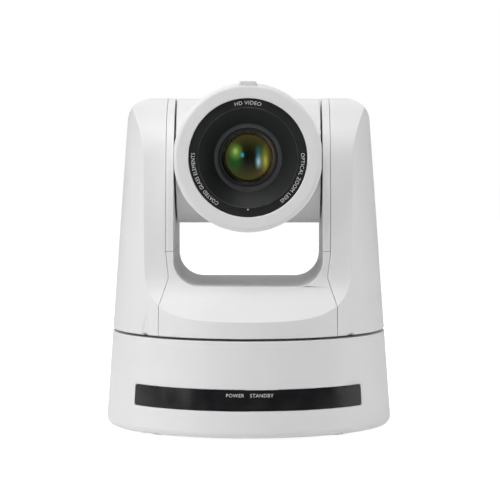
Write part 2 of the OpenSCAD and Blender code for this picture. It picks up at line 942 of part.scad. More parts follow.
// Half section of the round lens housing: radius against distance forward of the tilt axis.
module housing_section(inset = 0) {
    front_edge = 3;
    back_r = 14;
    r = housing_r - inset;
    front = housing_front - inset;
    back = 6 + inset;
    e = max(front_edge - inset, 0.4);
    b = back_r - inset;
    translate([0, back]) square([r - b, front - back]);
    translate([0, back + b]) square([r, front - back - b - e]);
    translate([0, back + b]) square([r - e, front - back - b]);
    translate([r - e, front - e]) circle(r = e);
    translate([r - b, back + b]) circle(r = b);
}

module head_solid(inset = 0) {
    x = head_x - inset;
    intersection() {
        union() {
            translate([0, 0, tilt_z]) rotate([0, 90, 0]) translate([0, 0, -head_x])
                cylinder(r = drum_r - inset, h = 2 * head_x);
            on_lens_axis() rotate_extrude() housing_section(inset);
        }
        block([-x, x], [-base_d, base_d], [0, 2 * yoke_top]);
    }
}

module head_shell() {
    difference() {
        head_solid();
        head_solid(wall);
    }
}

module tally_block(grow = 0) {
    block([-tally_w / 2 - grow, tally_w / 2 + grow], [-housing_front + 0.6 - grow, -housing_front + 8 + grow],
          [lens_z + housing_r - 3.6 - grow, lens_z + housing_r + 1]);
}

module head_front_cover() {
    color("white")
        difference() {
            intersection() {
                head_shell();
                block([-base_d, base_d], [-base_d, head_split], [0, 2 * yoke_top]);
            }
            on_lens_axis() cylinder(r = face_r, h = base_d);
            for (s = [-1, 1]) on_tilt_axis(s) cylinder(r = tilt_hub_r + pass_gap, h = base_d);
            tally_block(0.1);
        }
}

module head_rear_cover() {
    vents = 5;
    color("white")
        difference() {
            intersection() {
                head_shell();
                block([-base_d, base_d], [head_split + part_gap, base_d], [0, 2 * yoke_top]);
            }
            for (i = [0 : vents - 1])
                block([-20, 20], [head_split + 6, base_d],
                      [tilt_z - 2 * (vents - 1) + 4 * i - 0.9, tilt_z - 2 * (vents - 1) + 4 * i + 0.9]);
        }
}

module tally_lamp() {
    color("lightgray") tally_block();
}

module name_ring() {
    color("black")
        on_lens_axis() translate([0, 0, name_ring_y - name_ring_t]) tube(face_r, name_ring_r, name_ring_t);
}

module lens_baffle() {
    seat = name_ring_y - name_ring_t;
    color("black")
        on_lens_axis()
            rotate_extrude()
                polygon([
                    [name_ring_r, seat], [face_r, seat], [face_r, seat - 2], [name_ring_r + 1.5, seat - 2],
                    [lens_ring_r + 1.5, glass_y], [lens_ring_r, glass_y]
                ]);
}

module lens_ring() {
    color("gray")
        on_lens_axis() translate([0, 0, glass_y - 2]) tube(lens_ring_r + 1.5, lens_ring_in, 2);
}

module front_glass() {
    bulge = 4;
    dome_r = (glass_r * glass_r + bulge * bulge) / (2 * bulge);
    color("darkslategray")
        on_lens_axis() translate([0, 0, glass_y - 6])
            intersection() {
                cylinder(r = glass_r, h = 6 + bulge);
                translate([0, 0, 4 + bulge - dome_r]) sphere(r = dome_r);
            }
}

module lens_barrel() {
    front = glass_y - 2;
    color("dimgray")
        on_lens_axis()
            difference() {
                union() {
                    translate([0, 0, barrel_back]) cylinder(r = barrel_r, h = front - barrel_back - 8);
                    translate([0, 0, barrel_back]) cylinder(r = lens_ring_r + 1.5, h = front - barrel_back);
                }
                translate([0, 0, barrel_back + barrel_t])
                    cylinder(r = barrel_r - barrel_t, h = front - 8 - 2 * barrel_t - barrel_back);
                translate([0, 0, front - 14]) cylinder(r = glass_r, h = 14 + eps);
                translate([0, 0, barrel_back - eps]) cylinder(r = 9, h = barrel_t + 2 * eps);
            }
}

module guide_rods() {
    color("silver")
        for (s = [-1, 1])
            on_lens_axis() translate([s * rod_x, 0, rod_back]) cylinder(r = rod_r, h = rod_front - rod_back);
}

module lens_group(at, glass, width) {
    color("dimgray")
        on_lens_axis() translate([0, 0, at])
            difference() {
                union() {
                    tube(glass + 2.5, glass, width);
                    for (s = [-1, 1]) {
                        translate([s * rod_x, 0, 0]) cylinder(r = rod_r + 1.4, h = width);
                        translate([s > 0 ? glass + 1 : -rod_x, -1.2, 0]) cube([rod_x - glass - 1, 2.4, width]);
                    }
                }
                for (s = [-1, 1])
                    translate([s * rod_x, 0, -eps]) cylinder(r = rod_r + run_gap, h = width + 2 * eps);
            }
    color("lightblue") on_lens_axis() translate([0, 0, at + 1]) cylinder(r = glass, h = width - 2);
}

module zoom_group() { lens_group(zoom_at, 12, group_w); }

module focus_group() { lens_group(focus_at, 10, group_w); }

module sensor_board() {
    back = -barrel_back;
    color("green")
        block([-22, 22], [back, back + board_t], [lens_z - 18, lens_z + 18]);
    color("dimgray")
        block([-6, 6], [back - 1.5, back], [lens_z - 4.5, lens_z + 4.5]);
    color("silver")
        block([-16, 16], [back + board_t, back + board_t + 4], [lens_z - 14, lens_z + 12]);
}

module head_frame() {
    clamp_w = 8;
    clamp_at = 2;
    plate_x = hub_flange_x - sheet_t;
    web_h = hub_screw_at * sin(45) - hub_screw_r - 1;
    color("silver") {
        on_lens_axis() translate([0, 0, clamp_at]) tube(barrel_r + 2.5, barrel_r, clamp_w);
        for (s = [-1, 1]) {
            x0 = s > 0 ? plate_x : -hub_flange_x;
            web = s > 0 ? [barrel_r + 1.5, plate_x] : [-plate_x, -barrel_r - 1.5];
            difference() {
                block([x0, x0 + sheet_t], [-14, 12], [tilt_z - 14, tilt_z + 14]);
                on_tilt_axis(s) {
                    cylinder(r = tilt_bore_r, h = base_d);
                    hub_screw_pattern(plate_x - eps, sheet_t + 2 * eps);
                }
            }
            block(web, [-clamp_at - clamp_w, -clamp_at], [tilt_z - web_h, tilt_z + web_h]);
        }
    }
}

// Cylinders at the screws that join each tilt hub to the head's frame.
module hub_screw_pattern(start, length) {
    for (a = [45 : 90 : 315])
        rotate([0, 0, a]) translate([hub_screw_at, 0, start]) cylinder(r = hub_screw_r, h = length);
}

module tilt_hub(side, end_x) {
    color("silver")
        on_tilt_axis(side)
            difference() {
                union() {
                    translate([0, 0, hub_flange_x]) cylinder(r = tilt_hub_r + 4, h = tilt_flange_t);
                    translate([0, 0, hub_flange_x]) cylinder(r = tilt_hub_r, h = end_x - hub_flange_x);
                }
                translate([0, 0, hub_flange_x - eps]) cylinder(r = tilt_bore_r, h = end_x - hub_flange_x + 2 * eps);
                hub_screw_pattern(hub_flange_x - eps, tilt_flange_t + 2 * eps);
            }
}

module tilt_hubs() {
    tilt_hub(-1, tilt_pulley_x + pulley_w);
    tilt_hub(1, bearing_x + tilt_bearing_w + 1);
}

module tilt_pulley() {
    spacer_x = bearing_x + tilt_bearing_w;
    color("dimgray")
        on_tilt_axis(-1) {
            translate([0, 0, tilt_pulley_x]) pulley(tilt_pulley_r, tilt_hub_r, pulley_w, 56);
            translate([0, 0, spacer_x]) tube(tilt_hub_r + 1.5, tilt_hub_r, tilt_pulley_x - spacer_x);
        }
}

module head_screws() {
    color("gray")
        for (s = [-1, 1])
            on_tilt_axis(s) hub_screw_pattern(hub_flange_x - sheet_t - 1.2, sheet_t + 1.2 + tilt_flange_t);
}

base_cover();
base_plate();
rubber_feet();
status_window();
indicator_board();
indicator_leds();
ir_receiver();
connector_panel();
io_board();
sdi_socket();
hdmi_socket();
network_socket();
dc_inlet();
audio_socket();
control_socket();
usb_socket();
main_board();
tripod_bush();
base_chassis();
pan_bearing_outer();
pan_bearing_balls();
pan_motor();
pan_belt();
base_screws();
pan_motor_pulley();
pan_hub();
pan_pulley();
pan_bearing_inner();
yoke_frame();
yoke_tray();
saddle_cover();
left_arm_cover();
right_arm_cover();
left_inner_panel();
right_inner_panel();
tilt_bearing_outers();
tilt_bearing_balls();
tilt_motor();
tilt_belt();
yoke_board();
yoke_harness();
yoke_screws();
tilt_motor_pulley();
head_front_cover();
head_rear_cover();
head_frame();
tilt_hubs();
tilt_pulley();
tilt_bearing_inners();
name_ring();
lens_baffle();
lens_ring();
front_glass();
lens_barrel();
guide_rods();
sensor_board();
tally_lamp();
zoom_group();
focus_group();
head_screws();
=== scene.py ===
"""Covers, lens, connectors and finishes of a pan and tilt camera, built round its fixed frame.

Every piece is in metres, in the frame's own axes: the pan axis is Z, the front faces -Y and the
table is z = 0.
"""

import json
import math

import bmesh
import bpy
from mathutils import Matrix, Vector
from mathutils.bvhtree import BVHTree
from mathutils.geometry import intersect_point_line


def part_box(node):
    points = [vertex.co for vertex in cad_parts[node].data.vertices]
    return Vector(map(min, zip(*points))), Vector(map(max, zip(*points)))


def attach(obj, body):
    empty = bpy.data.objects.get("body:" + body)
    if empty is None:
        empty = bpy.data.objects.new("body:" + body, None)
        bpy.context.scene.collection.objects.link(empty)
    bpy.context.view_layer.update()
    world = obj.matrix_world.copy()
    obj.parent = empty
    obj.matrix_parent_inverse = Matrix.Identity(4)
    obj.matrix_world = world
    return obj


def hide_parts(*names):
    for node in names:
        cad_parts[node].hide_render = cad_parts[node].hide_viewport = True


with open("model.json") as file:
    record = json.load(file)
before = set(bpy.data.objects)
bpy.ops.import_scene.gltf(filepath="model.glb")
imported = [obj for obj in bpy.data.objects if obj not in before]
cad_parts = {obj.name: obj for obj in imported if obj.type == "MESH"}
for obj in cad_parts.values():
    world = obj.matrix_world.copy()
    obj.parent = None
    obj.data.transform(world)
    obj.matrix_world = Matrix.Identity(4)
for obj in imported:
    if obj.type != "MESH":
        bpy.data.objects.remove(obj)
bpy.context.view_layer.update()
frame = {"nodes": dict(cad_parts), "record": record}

bl_info = {
    "name": "Pan and tilt camera",
    "version": (1, 0, 0),
    "blender": (4, 5, 0),
    "location": "View3D > Sidebar > Camera",
    "description": "Builds the covers, lens and finishes of a pan and tilt camera",
    "category": "Object",
}

MM = 0.001

# Corners over this angle are rounded, and edges under the other one are shaded smooth
ROUND_OVER = math.radians(12)
SMOOTH_UNDER = math.radians(25)
# How often the corners of a cover are rounded again after freeing the tight ones
TRIES = 8
# Thickness of printed ink, and its lift off the face below
INK = 0.05 * MM
INK_LIFT = 0.015 * MM

# ---------- places that come from the frame ----------

RING_LOW, RING_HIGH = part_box("name_ring")
RING_FRONT, RING_BACK = -RING_LOW.y, -RING_HIGH.y
RING_R = (RING_HIGH.x - RING_LOW.x) / 2
RING_IN = 28.5 * MM
LENS_Z = (RING_LOW.z + RING_HIGH.z) / 2
LENS_CENTRE = (0.0, 0.0, LENS_Z)
CONE_BACK = -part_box("lens_baffle")[1].y
CONE_IN = 19.5 * MM
RIM_LOW, RIM_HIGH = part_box("lens_ring")
RIM_FRONT, RIM_BACK = -RIM_LOW.y, -RIM_HIGH.y
RIM_R = (RIM_HIGH.x - RIM_LOW.x) / 2
GLASS_LOW, GLASS_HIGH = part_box("front_glass")
GLASS_R = (GLASS_HIGH.x - GLASS_LOW.x) / 2
GLASS_EDGE = -GLASS_HIGH.y
FILM_HOLE = 12.9 * MM
FILM_FRONT = GLASS_EDGE - 2.4 * MM
COVER_LOW_R = 85.0 * MM
WINDOW_LOW, WINDOW_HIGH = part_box("status_window")
WINDOW_T = 1.4 * MM
PANEL_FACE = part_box("connector_panel")[1].y


# ---------- finishes ----------


class Shade:
    """A shader socket that takes part in Python expressions; each operator adds a Math node."""

    def __init__(self, finish, socket):
        self.finish = finish
        self.socket = socket

    def _math(self, operation, first, second=0.0):
        made = self.finish.node(
            "ShaderNodeMath", {"operation": operation}, {0: first, 1: second}
        )
        return Shade(self.finish, made.outputs[0])

    def __add__(self, other):
        return self._math("ADD", self, other)

    def __sub__(self, other):
        return self._math("SUBTRACT", self, other)

    def __mul__(self, other):
        return self._math("MULTIPLY", self, other)

    def __truediv__(self, other):
        return self._math("DIVIDE", self, other)

    def __pow__(self, other):
        return self._math("POWER", self, other)


class Finish:
    """One procedural material on object coordinates."""

    def __init__(self, name):
        self.material = bpy.data.materials.new(name)
        self.material.use_nodes = True
        self.tree = self.material.node_tree
        self.tree.nodes.clear()
        self.surface = self.node("ShaderNodeBsdfPrincipled")
        self.node("ShaderNodeOutputMaterial", {}, {"Surface": self.surface.outputs[0]})

    def node(self, kind, settings=None, inputs=None):
        """A node of any kind: its settings first, then the values or links of its sockets."""
        made = self.tree.nodes.new(kind)
        for name, value in (settings or {}).items():
            setattr(made, name, value)
        for name, value in (inputs or {}).items():
            self.give(made.inputs[name], value)
        return made

    def give(self, socket, value):
        """Links a shade or a socket to a socket, or sets a plain value on it."""
        if isinstance(value, Shade):
            self.tree.links.new(value.socket, socket)
        elif isinstance(value, bpy.types.NodeSocket):
            self.tree.links.new(value, socket)
        elif isinstance(value, tuple) and len(value) == 3 and socket.type == "RGBA":
            socket.default_value = (*value, 1.0)
        else:
            socket.default_value = value

    def coat(self, **values):
        """Sets or links the sockets of the surface shader; an underscore stands for a space."""
        for name, value in values.items():
            self.give(self.surface.inputs[name.replace("_", " ")], value)
        return self

    def place(self, at=(0, 0, 0), turn=(0, 0, 0), stretch=(1, 1, 1)):
        """Object coordinates, moved so that `at` is the middle of the pattern."""
        where = self.node("ShaderNodeTexCoord").outputs["Object"]
        made = self.node(
            "ShaderNodeMapping",
            {"vector_type": "POINT"},
            {
                "Vector": where,
                "Location": tuple(-a * s for a, s in zip(at, stretch)),
                "Rotation": turn,
                "Scale": stretch,
            },
        )
        return made.outputs[0]

    def grain(self, size, detail=2.0, vector=None, roughness=0.5):
        """Noise whose lumps are about `size` metres across."""
        made = self.node(
            "ShaderNodeTexNoise",
            {"noise_dimensions": "3D"},
            {
                "Vector": vector or self.place(),
                "Scale": 1.0 / size,
                "Detail": detail,
                "Roughness": roughness,
            },
        )
        return Shade(self, made.outputs[0])

    def cells(self, size, feature="F1"):
        """Distances in cells about `size` metres across."""
        made = self.node(
            "ShaderNodeTexVoronoi",
            {"feature": feature},
            {"Vector": self.place(), "Scale": 1.0 / size},
        )
        return Shade(self, made.outputs["Distance"])

    def part(self, vector, axis):
        """One coordinate of a vector."""
        made = self.node("ShaderNodeSeparateXYZ", {}, {0: vector})
        return Shade(self, made.outputs["XYZ".index(axis)])

    def length(self, vector):
        """Length of a vector."""
        made = self.node("ShaderNodeVectorMath", {"operation": "LENGTH"}, {0: vector})
        return Shade(self, made.outputs["Value"])

    def ramp(self, value, low, high, to_low=0.0, to_high=1.0):
        """A value carried from one range to another, held at its ends."""
        made = self.node(
            "ShaderNodeMapRange",
            {"interpolation_type": "SMOOTHSTEP"},
            {
                "Value": value,
                "From Min": low,
                "From Max": high,
                "To Min": to_low,
                "To Max": to_high,
            },
        )
        return Shade(self, made.outputs[0])

    def blend(self, factor, low, high):
        """A colour between two colours."""
        made = self.node(
            "ShaderNodeMix",
            {"data_type": "RGBA"},
            {"Factor": factor, 6: low, 7: high},
        )
        return made.outputs[2]

    def bump(self, height, depth):
        """A bump of `depth` metres, for the surface's normal."""
        return self.node("ShaderNodeBump", {}, {"Height": height, "Distance": depth}).outputs[0]


def moulded(name, tone, shade, roughness, grain=0.35 * MM, depth=0.012 * MM, spread=0.05):
    """Moulded plastic: a fine spark texture, with slow changes of tone and gloss."""
    made = Finish(name)
    slow = made.grain(26 * MM, 2.0)
    fine = made.grain(grain, 3.0, roughness=0.6)
    made.coat(
        Base_Color=made.blend(made.ramp(slow, 0.35, 0.65), shade, tone),
        Roughness=made.ramp(
            slow * 0.6 + fine * 0.4, 0.3, 0.7, roughness - spread, roughness + spread
        ),
        Normal=made.bump(fine, depth),
    )
    return made


def white_cover():
    made = moulded("white_cover", (0.865, 0.865, 0.868), (0.85, 0.852, 0.855), 0.46)
    made.coat(Specular_IOR_Level=0.4)
    return made


def smoked_window():
    made = Finish("smoked_window")
    haze = made.grain(9 * MM, 3.0)
    made.coat(
        Base_Color=made.blend(haze, (0.006, 0.006, 0.007), (0.011, 0.011, 0.013)),
        Roughness=made.ramp(haze, 0.3, 0.7, 0.09, 0.15),
        Specular_IOR_Level=0.5,
    )
    return made


def steel_plate():
    made = moulded("steel_plate", (0.26, 0.26, 0.27), (0.22, 0.22, 0.23), 0.5, 0.8 * MM, 0.05 * MM)
    made.coat(Metallic=0.0)
    return made


def rubber():
    made = Finish("rubber")
    fine = made.grain(0.5 * MM, 4.0)
    place = made.place()
    rings = made.node(
        "ShaderNodeTexWave",
        {"wave_type": "BANDS", "bands_direction": "DIAGONAL"},
        {"Vector": place, "Scale": 160.0, "Distortion": 0.0},
    )
    made.coat(
        Base_Color=made.blend(fine, (0.028, 0.028, 0.028), (0.055, 0.055, 0.054)),
        Roughness=made.ramp(fine, 0.3, 0.7, 0.78, 0.92),
        Normal=made.bump(fine * 0.5 + Shade(made, rings.outputs["Fac"]), 0.12 * MM),
    )
    return made


def circuit_board():
    """Solder mask over copper tracks, with tinned pads."""
    made = Finish("circuit_board")
    lines = made.cells(3.2 * MM, feature="DISTANCE_TO_EDGE")
    track = made.ramp(lines, 0.06, 0.10, 1.0, 0.0)
    pads = made.ramp(made.cells(5.0 * MM), 0.10, 0.13, 1.0, 0.0)
    mask = made.blend(track, (0.008, 0.075, 0.028), (0.02, 0.14, 0.05))
    made.coat(
        Base_Color=made.blend(pads, mask, (0.72, 0.70, 0.62)),
        Metallic=pads,
        Roughness=made.ramp(pads, 0.0, 1.0, 0.38, 0.28),
        Normal=made.bump(track * 0.5 + pads, 0.05 * MM),
    )
    return made


def indicator():
    made = Finish("indicator")
    haze = made.grain(0.8 * MM, 2.0)
    made.coat(
        Base_Color=made.blend(haze, (0.42, 0.75, 0.42), (0.6, 0.92, 0.6)),
        Roughness=made.ramp(haze, 0.3, 0.7, 0.2, 0.32),
    )
    return made


def dark_plastic():
    return moulded(
        "dark_plastic", (0.032, 0.032, 0.034), (0.024, 0.024, 0.026), 0.48, 0.5 * MM, 0.03 * MM
    )


def metal(name, tone, worn, roughness, brush=(1, 1, 1), depth=0.01 * MM, size=1.2 * MM):
    """Bare or plated metal with tool marks along one axis."""
    made = Finish(name)
    marks = made.grain(size, 4.0, made.place(stretch=brush))
    slow = made.grain(14 * MM, 2.0)
    made.coat(
        Base_Color=made.blend(made.ramp(marks * 0.5 + slow * 0.5, 0.35, 0.65), worn, tone),
        Metallic=1.0,
        Roughness=made.ramp(marks, 0.3, 0.7, roughness - 0.06, roughness + 0.08),
        Normal=made.bump(marks, depth),
    )
    return made


def connector_metal():
    return metal("connector_metal", (0.74, 0.74, 0.75), (0.62, 0.62, 0.64), 0.24)


def brass_insert():
    return metal("brass_insert", (0.75, 0.58, 0.28), (0.60, 0.45, 0.2), 0.3, (1, 1, 14))


def light_metal():
    return metal("light_metal", (0.76, 0.77, 0.78), (0.66, 0.67, 0.68), 0.34, (1, 1, 0.15))


def bearing_steel():
    return metal("bearing_steel", (0.62, 0.62, 0.64), (0.52, 0.52, 0.54), 0.18, (0.2, 0.2, 3))


def motor_black():
    return moulded("motor_black", (0.045, 0.045, 0.05), (0.03, 0.03, 0.034), 0.4, 0.4 * MM, 0.02 * MM)


def belt_rubber():
    made = Finish("belt_rubber")
    fine = made.grain(0.3 * MM, 3.0)
    weave = made.node(
        "ShaderNodeTexWave",
        {"wave_type": "BANDS", "bands_direction": "Z"},
        {"Vector": made.place(), "Scale": 420.0, "Distortion": 0.4},
    )
    made.coat(
        Base_Color=made.blend(fine, (0.02, 0.02, 0.02), (0.04, 0.04, 0.04)),
        Roughness=made.ramp(fine, 0.3, 0.7, 0.7, 0.85),
        Normal=made.bump(fine * 0.4 + Shade(made, weave.outputs["Fac"]), 0.05 * MM),
    )
    return made


def screw_steel():
    return metal("screw_steel", (0.56, 0.56, 0.57), (0.42, 0.42, 0.43), 0.28, size=0.5 * MM)


def lens_black():
    made = moulded("lens_black", (0.0125, 0.0135, 0.0145), (0.0095, 0.010, 0.011), 0.5, 0.3 * MM)
    made.coat(Specular_IOR_Level=0.35)
    return made


def ring_grey():
    return metal("ring_grey", (0.13, 0.135, 0.145), (0.10, 0.105, 0.11), 0.36, size=0.4 * MM)


def lens_glass():
    """The clear front element: nearly all light goes through, and its coating tints the skin."""
    made = Finish("lens_glass")
    haze = made.grain(4 * MM, 2.0)
    made.coat(
        Base_Color=made.blend(haze, (0.004, 0.010, 0.008), (0.008, 0.014, 0.010)),
        Roughness=0.02,
        Specular_IOR_Level=0.25,
        Alpha=0.10,
    )
    return made


def tally_plastic():
    return moulded(
        "tally_plastic", (0.80, 0.805, 0.815), (0.76, 0.765, 0.775), 0.3, 0.6 * MM, 0.01 * MM
    )


def cable():
    return moulded("cable", (0.09, 0.09, 0.09), (0.06, 0.06, 0.06), 0.55, 0.4 * MM, 0.02 * MM)


FINISHES = {
    made.__name__: made
    for made in (
        white_cover,
        smoked_window,
        steel_plate,
        rubber,
        circuit_board,
        indicator,
        dark_plastic,
        connector_metal,
        brass_insert,
        light_metal,
        bearing_steel,
        motor_black,
        belt_rubber,
        screw_steel,
        lens_black,
        ring_grey,
        lens_glass,
        tally_plastic,
        cable,
    )
}


MADE = {}


def finish_of(slot):
    """The material of one slot, made once."""
    if slot not in MADE:
        MADE[slot] = FINISHES[slot]().material
    return MADE[slot]


# ---------- meshes ----------


def keep(name, mesh, slot, body, *nodes, material=None):
    """Makes a mesh a piece that rides on a body and stands for the named nodes."""
    data = bpy.data.meshes.new(name)
    mesh.to_mesh(data)
    mesh.free()
    data.materials.clear()
    data.materials.append(material or finish_of(slot))
    piece = bpy.data.objects.new(name, data)
    bpy.context.scene.collection.objects.link(piece)
    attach(piece, body)
    if nodes:
        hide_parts(*nodes)
    return piece


def smooth(mesh, angle):
    """Smooth faces, with edges over an angle kept sharp."""
    for face in mesh.faces:
        face.smooth = True
    for edge in mesh.edges:
        edge.smooth = len(edge.link_faces) == 2 and edge.calc_face_angle(0) < angle


def cornered(mesh, width, segments):
    """Rounds the corners of a closed mesh, leaving sharp the few too tight for the radius."""
    skin = BVHTree.FromBMesh(mesh)
    weights = mesh.edges.layers.float.new("bevel_weight_edge")
    for edge in mesh.edges:
        edge[weights] = float(edge.calc_face_angle(0) > ROUND_OVER)
    for attempt in range(TRIES):
        data = bpy.data.meshes.new("rough")
        mesh.to_mesh(data)
        scratch = bpy.data.objects.new("rough", data)
        bpy.context.scene.collection.objects.link(scratch)
        bevel = scratch.modifiers.new("corners", "BEVEL")
        bevel.width = width
        bevel.segments = segments
        bevel.limit_method = "WEIGHT"
        bevel.use_clamp_overlap = False
        bpy.context.view_layer.update()
        graph = bpy.context.evaluated_depsgraph_get()
        done = bpy.data.meshes.new_from_object(scratch.evaluated_get(graph))
        bpy.data.objects.remove(scratch)
        bpy.data.meshes.remove(data)
        done.calc_loop_triangles()
        spots = [corner.co for corner in done.vertices]
        for triangle in done.loop_triangles:
            a, b, c = (done.vertices[i].co for i in triangle.vertices)
            spots.append((a + b + c) / 3)
        stray = [spot for spot in spots if skin.find_nearest(spot)[3] > width * 0.5]
        if not stray:
            break
        near = 2 * width * (1 + attempt)
        for edge in mesh.edges:
            if edge[weights]:
                start, end = (corner.co for corner in edge.verts)
                for spot in stray:
                    on_edge, along = intersect_point_line(spot, start, end)
                    on_edge = start.lerp(end, min(max(along, 0.0), 1.0))
                    if (on_edge - spot).length < near:
                        edge[weights] = 0.0
                        break
        bpy.data.meshes.remove(done)
        done = None
    if done is None:
        raise RuntimeError("the corners of a cover can't be rounded")
    mesh.free()
    mesh = bmesh.new()
    mesh.from_mesh(done)
    bpy.data.meshes.remove(done)
    return mesh


def merged(node):
    """A closed copy of a frame node, with its doubled corners merged."""
    mesh = bmesh.new()
    mesh.from_mesh(frame["nodes"][node].data)
    bmesh.ops.remove_doubles(mesh, verts=mesh.verts, dist=1e-6)
    return mesh


def softened(node, name, slot, body, width, segments=4):
    """A copy of a frame node with its corners rounded, standing for the node."""
    mesh = cornered(merged(node), width, segments)
    smooth(mesh, SMOOTH_UNDER)
    piece = keep(name, mesh, slot, body, node)
    even = piece.modifiers.new("even shading", "WEIGHTED_NORMAL")
    even.mode = "FACE_AREA"
    even.keep_sharp = True
    return piece


def turned(outline, centre, steps=96, upright=False):
    """A solid of revolution through `centre`, about the lens axis, or about Z if upright.

    The outline is a closed row of (radius, along) in metres; along counts forward, or up.
    """
    mesh = bmesh.new()
    rows = []
    for radius, along in outline:
        row = []
        for i in range(steps if radius > 0 else 1):
            turn = 2 * math.pi * i / steps
            across = Vector((radius * math.cos(turn), 0, radius * math.sin(turn)))
            if upright:
                across = Vector((across.x, across.z, along))
            else:
                across.y = -along
            row.append(mesh.verts.new(Vector(centre) + across))
        rows.append(row * steps if radius <= 0 else row)
    for first, second in zip(rows, rows[1:] + rows[:1]):
        for i in range(steps):
            j = (i + 1) % steps
            corners = list(dict.fromkeys([first[i], first[j], second[j], second[i]]))
            if len(corners) > 2:
                mesh.faces.new(corners)
    bmesh.ops.recalc_face_normals(mesh, faces=mesh.faces)
    smooth(mesh, math.radians(38))
    return mesh


def rounded(corners, radius, steps=4):
    """A closed outline with its corners rounded."""
    outline = []
    for i, corner in enumerate(corners):
        here = Vector(corner)
        before = Vector(corners[i - 1]) - here
        after = Vector(corners[(i + 1) % len(corners)]) - here
        reach = min(radius, before.length * 0.45, after.length * 0.45)
        start = here + before.normalized() * reach
        end = here + after.normalized() * reach
        for k in range(steps + 1):
            t = k / steps
            outline.append(tuple(start * (1 - t) ** 2 + here * 2 * t * (1 - t) + end * t**2))
    return outline


def lettering(words, height, spacing):
    """Flat letters in the XY plane, centred on the origin along X, with their base line at y = 0."""
    curve = bpy.data.curves.new("letters", "FONT")
    curve.body = words
    curve.size = height / 0.7
    curve.space_character = spacing
    curve.align_x = "CENTER"
    curve.extrude = INK / 2
    curve.resolution_u = 3
    scratch = bpy.data.objects.new("letters", curve)
    bpy.context.scene.collection.objects.link(scratch)
    bpy.context.view_layer.update()
    graph = bpy.context.evaluated_depsgraph_get()
    data = bpy.data.meshes.new_from_object(scratch.evaluated_get(graph))
    bpy.data.objects.remove(scratch)
    mesh = bmesh.new()
    mesh.from_mesh(data)
    bpy.data.meshes.remove(data)
    bmesh.ops.remove_doubles(mesh, verts=mesh.verts, dist=1e-7)
    return mesh


def bend(mesh, place):
    """Moves every corner of a mesh to place(x, y, z)."""
    for corner in mesh.verts:
        corner.co = place(*corner.co)
    return mesh


def joined(meshes):
    """Several meshes in one."""
    whole = bmesh.new()
    for mesh in meshes:
        data = bpy.data.meshes.new("part")
        mesh.to_mesh(data)
        mesh.free()
        whole.from_mesh(data)
        bpy.data.meshes.remove(data)
    return whole


def islands(node):
    """(lowest, highest) corner of each separate solid of a frame node, in a fixed order."""
    mesh = merged(node)
    left = set(mesh.verts)
    boxes = []
    while left:
        group, reached = [left.pop()], []
        while group:
            corner = group.pop()
            reached.append(corner.co.copy())
            for edge in corner.link_edges:
                other = edge.other_vert(corner)
                if other in left:
                    left.remove(other)
                    group.append(other)
        boxes.append(
            (
                Vector(min(c[i] for c in reached) for i in range(3)),
                Vector(max(c[i] for c in reached) for i in range(3)),
            )
        )
    mesh.free()
    return sorted(boxes, key=lambda box: tuple(round(c, 5) for c in box[0]))


class Pattern:
    """A Geometry Nodes tree with named inputs, which ends in Realize Instances and Set Material."""

    def __init__(self, name, **inputs):
        self.tree = bpy.data.node_groups.new(name, "GeometryNodeTree")
        face = self.tree.interface
        face.new_socket("Points", in_out="INPUT", socket_type="NodeSocketGeometry")
        face.new_socket("Mesh", in_out="OUTPUT", socket_type="NodeSocketGeometry")
        for label, value in inputs.items():
            kind = "NodeSocketInt" if isinstance(value, int) else "NodeSocketFloat"
            kind = "NodeSocketVector" if isinstance(value, tuple) else kind
            kind = "NodeSocketMaterial" if value is None else kind
            socket = face.new_socket(label.replace("_", " "), in_out="INPUT", socket_type=kind)
            if value is not None:
                socket.default_value = value
        self.source = self.tree.nodes.new("NodeGroupInput")

    def ask(self, label):
        """The socket of a named input."""
        return self.source.outputs[label]

    def node(self, kind, settings=None, inputs=None):
        """A node's first output; its settings are set first, then the values or links of its sockets."""
        made = self.tree.nodes.new(kind)
        for name, value in (settings or {}).items():
            setattr(made, name, value)
        for name, value in (inputs or {}).items():
            for one in value if isinstance(value, list) else [value]:
                if isinstance(one, bpy.types.NodeSocket):
                    self.tree.links.new(one, made.inputs[name])
                else:
                    made.inputs[name].default_value = one
        return next(socket for socket in made.outputs if socket.enabled)

    def times(self, value, factor):
        return self.node("ShaderNodeMath", {"operation": "MULTIPLY"}, {0: value, 1: factor})

    def moved(self, mesh, x=0.0, y=0.0, z=0.0, turn=(0, 0, 0)):
        """A mesh moved by plain values or linked sockets, and turned."""
        way = self.node("ShaderNodeCombineXYZ", {}, {"X": x, "Y": y, "Z": z})
        return self.node(
            "GeometryNodeTransform", {}, {"Geometry": mesh, "Translation": way, "Rotation": turn}
        )

    def end(self, instances):
        """Realizes the instances and gives them their material."""
        real = self.node("GeometryNodeRealizeInstances", {}, {"Geometry": instances})
        done = self.node(
            "GeometryNodeSetMaterial", {}, {"Geometry": real, "Material": self.ask("Material")}
        )
        out = self.tree.nodes.new("NodeGroupOutput")
        self.tree.links.new(done, out.inputs["Mesh"])
        return self.tree


def grown(tree, points, material, **values):
    """The plain mesh that a pattern makes on a list of points."""
    data = bpy.data.meshes.new(tree.name)
    data.from_pydata([tuple(point) for point in points], [], [])
    scratch = bpy.data.objects.new(tree.name, data)
    modifier = scratch.modifiers.new("pattern", "NODES")
    modifier.node_group = tree
    for item in tree.interface.items_tree:
        label = item.name.replace(" ", "_")
        if label in values:
            modifier[item.identifier] = values[label]
        elif label == "Material":
            modifier[item.identifier] = material
    bpy.context.scene.collection.objects.link(scratch)
    bpy.context.view_layer.update()
    graph = bpy.context.evaluated_depsgraph_get()
    done = bpy.data.meshes.new_from_object(scratch.evaluated_get(graph))
    bpy.data.objects.remove(scratch)
    bpy.data.meshes.remove(data)
    mesh = bmesh.new()
    mesh.from_mesh(done)
    bpy.data.meshes.remove(done)
    smooth(mesh, math.radians(30))
    return mesh


